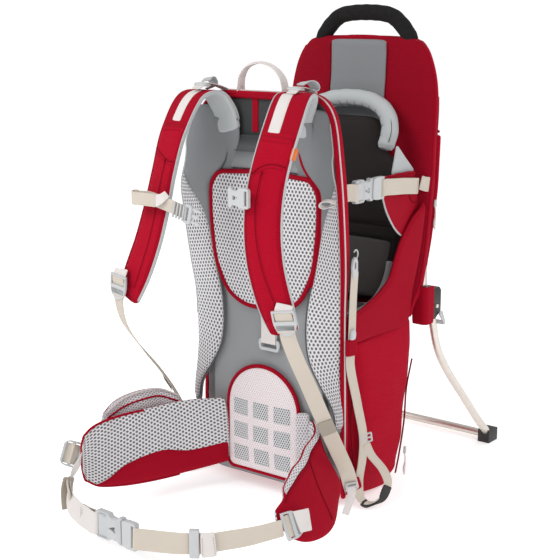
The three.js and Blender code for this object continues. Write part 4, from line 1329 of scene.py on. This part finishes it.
def prongs(node, webbing, reach, thickness, base, origin, across, along, body):
    half = webbing / 2 + 5
    place = (origin, across, along)
    outline = rounded([(-half, -base), (half, -base), (half, -base * 0.35), (half - 2, -0.4),
                       (-half + 2, -0.4),
                       (-half, -base * 0.35)], 3, 3)
    moulding(node + "_base", outline, [box_hole(-webbing / 2, 4 - base, webbing / 2, 9 - base, 1.2)],
             thickness - 0.6,
             place, "plastic", body, node, 1.4)
    inner, outer = half - 9, half - 3.6
    side = [(outer, -1.2), (outer, reach * 0.55), (outer - 0.4, reach - 2), (outer - 2.4, reach),
            (inner + 0.6, reach - 3), (inner, -1.2)]
    thick = thickness - 5.4
    moulding(node + "_right_prong", np.array(side), [], thick, place, "plastic", body, (), 0.8)
    moulding(node + "_left_prong", np.array([(-u, v) for u, v in reversed(side)]), [], thick, place,
             "plastic",
             body, (), 0.8)
    moulding(node + "_guide", rounded([(-3, -1.2), (3, -1.2), (3, reach - 6), (-3, reach - 6)], 1.2, 2), [],
             thick,
             place, "plastic", body, (), 0.8)


def make_sternum():
    socket("sternum_socket", 24, 42, 8, (58, -148, 580), (0, 0, 1), (1, 0.03, 0.1), "sternum_right")
    path = [(-150, -145, 560), (-120, -150, 562), (-82, -152, 556), (-42, -150.5, 546)]
    piece = band(path, 24, 2, (0, 0, 1), 40)
    build("sternum_webbing", piece.patch(), "webbing", "sternum_left", replaces="sternum_webbing_left")
    loop = band([(-150, -145, 562), (-158, -146, 562), (-160, -152, 561), (-150, -158, 560),
                 (-124, -160, 561),
                 (-100, -156, 560)], 23, 1.8, (0, 0, 1), 36)
    build("sternum_loose_loop", loop.patch(), "webbing", "sternum_left")
    over = band([(-104, -153, 560), (-96, -157.5, 561), (-84, -158.5, 566), (-74, -155, 574)], 22, 1.8,
                between((0, 0, 1), (0.3, 0, 0.95), 4), 24)
    build("sternum_twist", over.patch(), "webbing_pale", "sternum_left")
    prongs("sternum_prongs", 24, 20, 8, 16, (-22, -150, 541), (0.22, 0, 0.97), (0.97, 0, -0.22),
           "sternum_left")
    ladder = [[(-62 + 7 * k, -154.5, 536 - 1.5 * k), (-56 + 7 * k, -154.5, 562 - 1.5 * k)] for k in range(4)]
    rods("sternum_ladder", ladder, 1.7, "plastic", "sternum_left")


# ---------------------------------------------------------------- hip belt
LEFT_WING = [
    ((-87, 10, 170), (-87, 8, 44), 16), ((-128, -48, 172), (-124, -52, 34), 20),
    ((-156, -125, 170), (-150, -125, 32), 20), ((-174, -192, 169), (-168, -190, 38), 18),
    ((-183, -242, 162), (-180, -238, 50), 14), ((-187, -262, 148), (-187, -260, 64), 11)]
RIGHT_WING = [
    ((101, 9, 178), (136, 12, 66), 16), ((128, -20, 163), (184, -12, 58), 18),
    ((148, -60, 150), (208, -50, 36), 18), ((163, -97, 138), (228, -94, 18), 18),
    ((175, -135, 122), (232, -132, 18), 16), ((183, -170, 105), (227, -174, 32), 13),
    ((188, -194, 86), (206, -195, 60), 8)]
POCKET = [
    ((-150, -52, 176), (-146, -54, 74), 10), ((-178, -78, 192), (-172, -80, 62), 26),
    ((-190, -120, 194), (-184, -120, 60), 32), ((-200, -165, 184), (-192, -165, 66), 26),
    ((-196, -205, 168), (-190, -205, 86), 10)]


# Upper edge of the red band on the left wing, from the lumbar pad to the tip.
BAND_EDGE = spline([(0, -0.34, 0), (0.28, -0.36, 0), (0.5, -0.18, 0), (0.75, -0.35, 0), (0.9, -0.72, 0),
                    (1, -0.97, 0)], 60)


def wing_strip(stations, count=60):
    rows = []
    for top, low, thick in stations:
        top, low = np.asarray(top, float), np.asarray(low, float)
        rows.append(((top + low) / 2, (top - low) / 2, thick / 2))
    return Strip(rows, count)


def make_hip_wings():
    section = superellipse(32, 0.55, 0.7)
    left = wing_strip(LEFT_WING, 70)
    face = 1 if left.normal[30][0] > 0 else -1
    columns = len(section)
    middle = [section[k % columns] * 0.5 + section[(k + 1) % columns] * 0.5 for k in range(columns)]
    kinds = [0 if m[1] * face > 0 else 1 for m in middle]
    pad = build("hip_wing_left_pad", left.patch(section, kinds, round_ends=6), ["mesh", "red_plain"],
                replaces="hip_wing_left", subdivide=2)

    def border(f):
        # The red lower band rises toward the middle of the wing and falls away at its end.
        return float(np.interp(f, BAND_EDGE[:, 0], BAND_EDGE[:, 1]))
    band_low = left.overlay(0.0, 0.93, -0.985, border, 1.8, lift=0.5, side=face, steps=60, columns=8,
                            edge=0.02)
    build("hip_wing_left_band", band_low, "red_plain")
    rim = [left.point(t, 0.985, 0.2, face) for t in np.linspace(0.0, 1, 60)]
    rim += [left.line[-1] + (left.line[-1] - left.line[-2]) * 1.2]
    low = [left.point(t, -0.985, 0.2, face) for t in np.linspace(1, 0.0, 60)]
    piping("hip_wing_left_piping", rim[34:] + low[:40], 2.2, "red_binding", count=200)

    right = wing_strip(RIGHT_WING, 70)
    face = 1 if right.normal[30][0] > 0 else -1
    kinds = [0 if m[1] * face > 0 else 1 for m in middle]
    pad = build("hip_wing_right_pad", right.patch(section, kinds, round_ends=6), ["red_plain", "mesh"],
                replaces="hip_wing_right", subdivide=2)
    edge = right.overlay(0.0, 0.90, 0.80, 0.985, 1.6, lift=0.8, side=face, steps=50, columns=6, edge=0.05)
    build("hip_wing_right_rim", edge, "fine_mesh")
    side_seam = [right.point(t, 0.78, 0.5, face) for t in np.linspace(0.02, 0.95, 50)]
    piping("hip_wing_right_seam", side_seam, 1.3, "seam", count=140)
    # Dark line along a crease of the wing: painted shade in the fold.
    fold = right.trace([(0.42, 0.72), (0.50, 0.3), (0.56, -0.2), (0.60, -0.8)], 0.4, face)
    build("hip_wing_right_fold", tube_patch(fold, 1.1, 6), "seam")
    stitches("hip_wing_right_stitching", [[right.point(t, 0.70, 0.7, face) for t in np.linspace(0.02, 0.9,
                                                                                                60)]],
             "thread")
    # Ribbed edge of the lumbar cushion that runs into the right wing.
    ribbed = Strip([((92, 10, 172), (12, 3, 4), 5.0), ((98, 8, 130), (15, 4, 4), 6.5),
                    ((94, 8, 90), (13, 4, 6), 6.0), ((80, 8, 52), (7, 3, 6), 4.0)], 30)
    build("lumbar_side_cushion", ribbed.patch(PAD_SECTION, round_ends=3), "fine_mesh")
    pocket = wing_strip(POCKET, 50)
    face = 1 if pocket.normal[25][0] < 0 else -1
    bag = build("hip_pocket_mesh", pocket.patch(section, round_ends=5), "fine_mesh",
                replaces="hip_pocket_left",
                subdivide=2, inflate=(4, 3))
    for k, a in enumerate((0.80, 0.985)):
        line = [pocket.point(t, a, 0.6, -face) for t in np.linspace(0.03, 0.97, 50)]
        piping(f"hip_pocket_stripe_{k + 1}", line, 1.9, "red_binding" if k == 0 else "pale_binding",
               count=140)
    zipper = [pocket.point(t, 0.93, 1.0, face) for t in np.linspace(0.04, 0.96, 50)]
    piping("hip_pocket_zip", zipper, 1.8, "seam", count=140)


HIP_BUCKLE = np.array((-10, -342, 40.5))
INTO_SOCKET = unit((-0.995, 0.05, 0))
HIP_LEFT = [(-186, -273, 104), (-186, -292, 82), (-178, -307, 62), (-158, -322, 49), (-128, -333, 43),
            (-104, -338, 41)]
HIP_RIGHT = [
    (54, -335, 40), (74, -327, 40.5), (96.6, -317.6, 41.4), (113, -306, 42), (129.4, -294.4, 42.6),
    (150, -275, 46), (184, -244, 53), (211, -214, 61), (216.5, -207.5, 62.5)]


def make_hip_belt():
    socket("hip_buckle_socket", 38, 66, 12, HIP_BUCKLE, (0, 0, 1), INTO_SOCKET, "carrier")
    prongs("hip_buckle_prongs", 38, 26, 12, 32, HIP_BUCKLE, (0, 0, 1), INTO_SOCKET, "hip_buckle")
    over_bar = [(-96, -341, 41), (-83, -345, 41), (-76, -345.6, 41), (-71, -343, 41), (-70, -338, 41)]
    path = HIP_LEFT[:-1] + over_bar
    left = band([(-190, -262, 114)] + path, 38, 2,
                between((-0.1, 0.5, 0.86), (0, 0, 1), len(path) + 1), 90)
    build("hip_webbing_left_cloth", left.patch(), "webbing_pale", replaces="hip_webbing_left")
    # Painted shade: the return behind the buckle bar is a darker copy of the webbing.
    back = band([(-70, -336.5, 41), (-78, -335.5, 41), (-96, -335, 41.5), (-118, -331.5, 42.5)], 38, 2,
                (0, 0, 1), 20)
    build("hip_webbing_left_return", back.patch(), "webbing_painted_shade")
    stitches("hip_webbing_left_stitching",
             [[(x, -337.5, 25), (x, -337.4, 60)] for x in (-117.5, -114)], "thread_pale")
    path = [(13.5, -340, 40), (15, -345.5, 40), (21, -349.2, 40), (29, -346, 40), (42, -340, 40)] + HIP_RIGHT
    right = band(path, 38, 2, between((0, 0, 1), (0.35, 0.3, 0.9), len(path)), 130)
    piece = build("hip_webbing_right_cloth", right.patch(), "webbing", ride=False)
    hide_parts("hip_webbing_right")
    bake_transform(piece)
    # Stitched keeper beside the slider, with two rows of dashes.
    keeper = band([right.point(t, 0, 5.6) for t in (0.485, 0.53, 0.575)], 43, 2.0, (0.05, 0.05, 1), 12)
    build("belt_keeper", keeper.patch(), "webbing_pale", "hip_slider")
    rows = [[keeper.point(t, a, 0.4) for a in (-0.8, 0, 0.8)] for t in (0.12, 0.88)]
    stitches("belt_keeper_stitching", rows, "thread_pale", "hip_slider", pitch=4.4, length=2.8, radius=0.5)
    softened("hip_slider", 1.4, "plastic", 3)
    ladder_lock("hip_lock_left", 38, 34, 5, (-192, -265, 109), (-0.1, 0.5, 0.86), (-0.2, -0.7, -0.4),
                "carrier")
    ladder_lock("hip_lock_right", 38, 36, 5, (219, -207, 64), (-0.45, 0.1, 0.88), (0.22, 0.97, 0.02),
                "carrier",
                half_round=True)
    tail = band([(222, -186, 66), (231, -176, 68), (236, -164, 68), (234, -158, 66)], 36, 2,
                between((-0.4, 0.1, 0.9), (-0.3, 0.1, 0.95), 4), 20)
    build("hip_tail_right", tail.patch(), "webbing_pale")
    # Painted shade: the left tail is a darker copy of the webbing.
    tail = band([(-181, -303, 84), (-184, -306, 66), (-184, -307, 48), (-183, -307, 26)], 22, 2,
                (0.35, 0.9, 0), 20)
    build("hip_tail_left", tail.patch(), "webbing_painted_shade")
    keeper = band([(-189, -292, 60), (-181, -305, 60), (-168, -316, 56), (-160, -321, 52)], 44, 3.2,
                  (-0.02, -0.1, 1), 18)
    build("hip_tail_keeper", keeper.patch(), "webbing")


# ---------------------------------------------------------------- child seat
def make_seat():
    rows = [(346, 114), (400, 122), (450, 126), (547, 128), (575, 127), (600, 108), (618, 80), (650, 74),
            (677, 60)]
    heights = [row[0] for row in REAR_ROWS]
    stations = []
    for z, half in rows:
        rear = float(np.interp(z, heights, [row[2] for row in REAR_ROWS])) - 1
        stations.append(((0, rear - 15, z), (half, 0, 0), 15))
    back = Strip(stations, 60)
    front = 1 if back.normal[30][1] < 0 else -1
    pad = build("seat_back_cloth", back.patch(superellipse(32, 0.5, 0.6), round_ends=5), "dark_grey",
                replaces="seat_back_pad")
    lower = back.overlay(0.0, 0.335, -0.97, 0.97, 2.6, side=front, steps=24, columns=14, edge=0.06)
    build("seat_back_lower", lower, "mid_grey")
    middle = back.overlay(0.345, 0.41, -0.97, 0.97, 2.4, side=front, steps=10, columns=14, edge=0.3)
    build("seat_back_band", middle, "dark_grey")
    upper = back.overlay(0.42, 0.99, -0.95, 0.95, 3.2, side=front, steps=30, columns=14, edge=0.05)
    build("seat_back_upper", upper, "dark_grey")
    for t in (0.34, 0.415):
        line = back.trace([(t, -0.97), (t, 0), (t, 0.97)], 0.9, front)
        build(f"seat_back_seam_{'low' if t < 0.4 else 'high'}", tube_patch(line, 1.0, 6), "seam_black")
    seat = rounded([(-112, 86), (112, 86), (114, 208), (-114, 208)], 30, 6)

    def on_seat(u, v, w):
        return (u, v, w + 5 * (abs(u) / 114) ** 2.5 - 3)
    cushion = pillow(dense_outline(seat, 16), on_seat, 316, 341, crown_front=0.0, crown_back=3, edge=9)
    build("seat_cushion", cushion, "mid_grey", "child_seat", replaces="seat_pad", inflate=(4, 6))
    loop = np.array([on_seat(u, v, 336) for u, v in dense_outline(seat, 16)])
    piping("seat_rim", np.vstack([loop, loop[:2]]), 5.5, "light_grey", "child_seat", count=160)
    # Light rolls that close the seat at the leg openings.
    for side, sign in SIDES:
        roll_path = [(sign * 127, y, z) for y, z in
                     ((232, 421), (225, 388), (200, 360), (167, 346), (135, 342), (106, 349))]
        roll = build(f"seat_side_roll_{side}", tube_patch(roll_path, [6, 9, 9.5, 9.5, 9, 6], 16, count=70),
                     "light_grey", "child_seat")
    collar_path = mirror_path([(99, 252, 626), (101, 265, 664), (86, 274, 692), (51, 283, 710),
                               (0, 286, 716)])
    line = spline(collar_path, 120)
    gather = [16.2 + 0.7 * math.sin(k * 1.9) + 0.5 * math.sin(k * 4.3 + 1) for k in range(40)]
    gather[0] = gather[-1] = 12.0
    roll = build("headrest_roll", tube_patch(collar_path, gather, 22, count=150), "light_grey",
                 replaces="headrest_collar")
    middle = np.array((0, 262, 650))
    inward = [p + unit(middle - p) * 14.4 + np.array((0, -6.5, 0)) for p in line[6:-6]]
    piping("headrest_inner_seam", inward, 1.4, "grey_seam", count=160)
    outward = [p - unit(middle - p) * 11 + np.array((0, -12.2, 0)) for p in line[6:-6]]
    piping("headrest_outer_seam", outward, 0.9, "grey_seam", count=160)
    # Dark lines in the gathers of the roll: painted shade in the creases.
    tucks = []
    for k in range(10, 111, 7):
        p = line[k]
        inwards = unit(middle - p)
        lean = unit(line[min(k + 3, 119)] - line[k])
        start = p + inwards * 16.0 + np.array((0, -4.0, 0)) - lean * 2
        bend = p + inwards * 11.0 + np.array((0, -12.8, 0))
        end = p + inwards * 3.4 + np.array((0, -16.4, 0)) + lean * 3
        tucks.append([start, bend, end])
    for k, tuck in enumerate(tucks):
        build(f"headrest_tuck_{k + 1}", tube_patch(tuck, [0.9, 0.8, 0.2], 6), "grey_seam")


# ---------------------------------------------------------------- side wings
WING_FLAP = [
    (146, 601, 566), (156, 603, 545), (170, 603, 524), (192, 602, 500), (214, 600, 481), (238, 596, 467),
    (256, 592, 460), (266, 588, 492), (274, 585, 536), (279, 583, 562)]


def make_side_wings():
    for side, sign in SIDES:
        stations = []
        for y, top, low in WING_FLAP:
            x = sign * (166.5 - 0.115 * (y - 146))
            stations.append(((x, y, (top + low) / 2), (0, 0, (top - low) / 2), 3.2))
        flap = Strip(stations, 50)
        out = 1 if flap.normal[25][0] * sign > 0 else -1
        columns = PAD_SECTION.shape[0]
        kinds = [0 if (k < columns // 2) == (out > 0) else 1 for k in range(columns)]
        cloth = build(f"side_flap_cloth_{side}", flap.patch(PAD_SECTION, kinds, round_ends=2),
                      ["red_plain", "light_grey"], replaces=f"side_flap_{side}")
        stitched = [flap.point(t, a, 0.4, out) for t,
                    a in zip(np.linspace(0.70, 0.80, 12), np.linspace(0.9, -0.85, 12))]
        piping(f"flap_seam_{side}", stitched, 1.1, "seam", count=40)
        edge = [flap.point(t, 0.97, 0.2, out) for t in np.linspace(0.03, 0.97, 40)]
        piping(f"flap_top_edge_{side}", edge, 2.0, "red_binding", count=90)
        edge = [flap.point(t, -0.97, -1.5, out) for t in np.linspace(0.02, 0.72, 40)]
        piping(f"flap_lower_edge_{side}", edge, 2.0, "light_grey", count=90)
        # Grey lining that rises from the flap to the end of the headrest.
        corners = dense_outline(rounded([(186, 592), (205, 642), (276, 590), (262, 572), (200, 574)], 5, 3),
                                8)

        def on_lining(u, v, w, sign=sign):
            return (sign * (w - 0.115 * (u - 186)), u, v)
        lining = pillow(corners, on_lining, 155.5, 159, edge=1.6)
        build(f"flap_lining_{side}", lining, "light_grey")
        x = sign * 172.5
        ahead, up_across = (0, -1, 0), (0, 0, sign)
        mouth = (x, 100, 575)
        socket(f"wing_socket_{side}", 30, 54, 10, mouth, up_across, ahead, "carrier")
        prongs(f"wing_prongs_{side}", 30, 24, 10, 34, mouth, up_across, ahead, f"wing_buckle_{side}")
        web = band([(sign * 171, 26, 576), (sign * 173, 36, 576), (sign * 178.8, 46, 575),
                    (sign * 179, 49, 575),
                    (sign * 173, 52, 575)], 30, 2, (0, 0, 1), 36)
        build(f"wing_front_webbing_{side}", web.patch(), "webbing")
        web = band([(sign * 172.5, 127, 575), (sign * 178.6, 130, 575), (sign * 179, 135, 575),
                    (sign * 174, 143, 574),
                    (sign * 171.5, 176, 571), (sign * 168, 212, 568), (sign * 164, 246, 564),
                    (sign * 161, 272, 561)],
                   30, 2, (0, 0, 1), 60)
        piece = build(f"wing_rear_webbing_{side}", web.patch(), "webbing", ride=False)
        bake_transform(piece)
        dashes = [[web.point(0.985, a, 0.5, 1 if web.normal[40][0] * sign > 0 else -1) for a in (-0.85, 0,
                                                                                                 0.85)],
                  [web.point(0.95, a, 0.5, 1 if web.normal[40][0] * sign > 0 else -1) for a in (-0.85, 0,
                                                                                                0.85)]]
        stitches(f"wing_webbing_stitching_{side}", dashes, "thread_pale", "carrier")
        tail = band([(sign * 158, 284, 566), (sign * 161, 296, 562), (sign * 164, 308, 560)], 28, 1.8,
                    (0, 0, 1), 14)
        build(f"wing_webbing_tail_{side}", tail.patch(), "webbing")
    # Small hanging loop on the inner edge of the right trim.
    loop = band([(166, 2, 562), (157, -8, 566), (146, -12, 563), (142, -10, 557), (147, -6, 553),
                 (158, 1, 556),
                 (167, 8, 559)], 9, 1.6, (0, 0.9, 0.4), 40)
    build("hanging_loop", loop.patch(), "webbing_pale")


# ---------------------------------------------------------------- stirrups
def make_stirrups():
    for side, sign in SIDES:
        hook = [(35, 428), (44, 428), (48, 440), (48, 458), (42, 466), (35, 462), (32, 448)]
        place = ((sign * 179.5, 0, 0), (0, 1, 0), (0, 0, 1)) if sign > 0 else ((-179.5, 0, 0), (0, 1, 0),
                                                                               (0, 0, 1))
        moulding(f"stirrup_hook_{side}_moulding", rounded(hook, 3, 3), [box_hole(38, 444, 43, 456, 2)], 5,
                 place,
                 "plastic", "carrier", f"stirrup_hook_{side}", 1.0)
        eye = [(sign * 182, 40 + 6 * math.cos(a), 470 + 8 * math.sin(a)) for a in np.linspace(-2.4, 2.6, 14)]
        piping(f"stirrup_ring_{side}", eye, 1.4, "plastic", count=50)
        strap_line = [(sign * 180, 41, 440), (sign * 177, 42, 400), (sign * 175, 42.5, 350),
                      (sign * 174, 42.5, 300)]
        strap_web = band(strap_line, 16, 1.8, (0.25 * sign, 0.95, 0), 40)
        build(f"stirrup_strap_{side}", strap_web.patch(), "webbing")
        wrap = band([(sign * 173.5, 42.5, 318), (sign * 173.3, 42.5, 304), (sign * 173.2, 42.5, 288)], 25, 8,
                    (0.2 * sign, 0.95, 0), 16)
        build(f"stirrup_keeper_{side}", wrap.patch(PAD_SECTION), "red_binding")
        lug = rounded([(34, 318), (46, 318), (48, 330), (42, 338), (36, 334)], 3, 3)
        moulding(f"stirrup_lug_{side}", lug, [], 5, ((sign * 178, 0, 0), (0, 1, 0), (0, 0, 1)), "plastic",
                 "carrier",
                 (), 1.2)
        loop_path = [(172, 42, 270), (176, 60, 195), (180, 74, 130), (184, 66, 92), (183, 58, 50),
                     (186, 62, 18),
                     (196, 74, 10), (208, 92, 16), (214, 106, 40), (208, 100, 66), (190, 84, 98)]
        path = [(sign * x, y, z) for x, y, z in [(172, 42, 290)] + loop_path + [(184, 77, 118)]]
        web = band(path, 18, 2, (0.35 * sign, 0.9, 0.1), 110)
        build(f"stirrup_webbing_{side}", web.patch(), "webbing", f"stirrup_{side}",
              replaces=f"stirrup_loop_{side}")
        sole_path = [(sign * x, y, z - 1) for x, y,
                     z in ((186, 62, 15), (196, 74, 7), (208, 92, 13), (214, 106, 38))]
        sole = band(sole_path, 24, 4.5, (0.35 * sign, 0.9, 0.1), 30)
        build(f"stirrup_sole_{side}", sole.patch(PAD_SECTION), "black", f"stirrup_{side}")
        lock = ((sign * 182, 80, 128), (0.35 * sign, 0.9, 0.1), (0.05 * sign, -0.12, -1))
        outline = rounded([(-13, -9), (13, -9), (13, 9), (-13, 9)], 3, 3)
        moulding(f"stirrup_lock_{side}", outline,
                 [box_hole(-9.5, -6, 9.5, -1.5), box_hole(-9.5, 1.5, 9.5, 6)], 4,
                 lock, "plastic", f"stirrup_{side}", (), 1.0)
        dots = [[(sign * 177.5, 64 + k * 3.5, 188 - k * 12) for k in range(5)]]
        stitches(f"stirrup_stitching_{side}", [spline([(x, y, z) for x, y, z in dots[0]], 20)], "thread_pale",
                 f"stirrup_{side}")
        # Side tension strap low on the bag, in a three-bar slide with a short tail.
        slide = rounded([(-12, -8), (12, -8), (12, 8), (-12, 8)], 3, 3)
        moulding(f"side_slide_{side}", slide, [box_hole(-9, -5, 9, -1.5), box_hole(-9, 1.5, 9, 5)], 3.4,
                 ((sign * 186, 30, 52), (0.4 * sign, 0.9, 0), (0, 0.1, 1)), "plastic", "carrier", (), 1.0)
        tail = band([(sign * 186, 30, 52), (sign * 190, 24, 36), (sign * 189, 16, 20), (sign * 187, 10, 6)],
                    17, 1.8,
                    (0.4 * sign, 0.9, 0), 26)
        build(f"side_tail_{side}", tail.patch(), "webbing_pale")


# ---------------------------------------------------------------- zip pullers
def make_pullers():
    for name, (x, y, z) in {"upper": (168.5, 322, 510), "lower": (168, 234, 46)}.items():
        cord = [(x, y, z + 9), (x + 0.6, y + 0.8, z - 10), (x - 0.4, y - 0.8, z - 26), (x, y, z - 37)]
        pull = tube_patch(cord, [1.3, 1.3, 1.3, 2.6, 2.8, 1.6], 10, count=50)
        build(f"zip_cord_{name}", pull, "webbing_pale", f"zip_{name}", replaces=f"zip_puller_{name}")
        slider = rounded([(-4, -7), (4, -7), (3, 7), (-3, 7)], 2, 3)
        moulding(f"zip_slider_{name}", slider, [], 3.4, ((x, y, z + 13), (0, 1, 0), (0, 0, 1)), "plastic",
                 "carrier",
                 (), 1.0)


make_camera()
make_studio()
make_frame()
make_rear_panel()
make_cargo_bag()
make_side_walls()
make_shell()
make_back_pads()
for strap_side, strap_sign in SIDES:
    make_strap(strap_side, strap_sign)
    make_strap_ends(strap_side, strap_sign)
make_grab_loop()
make_sternum()
make_hip_wings()
make_hip_belt()
make_seat()
make_side_wings()
make_stirrups()
make_pullers()
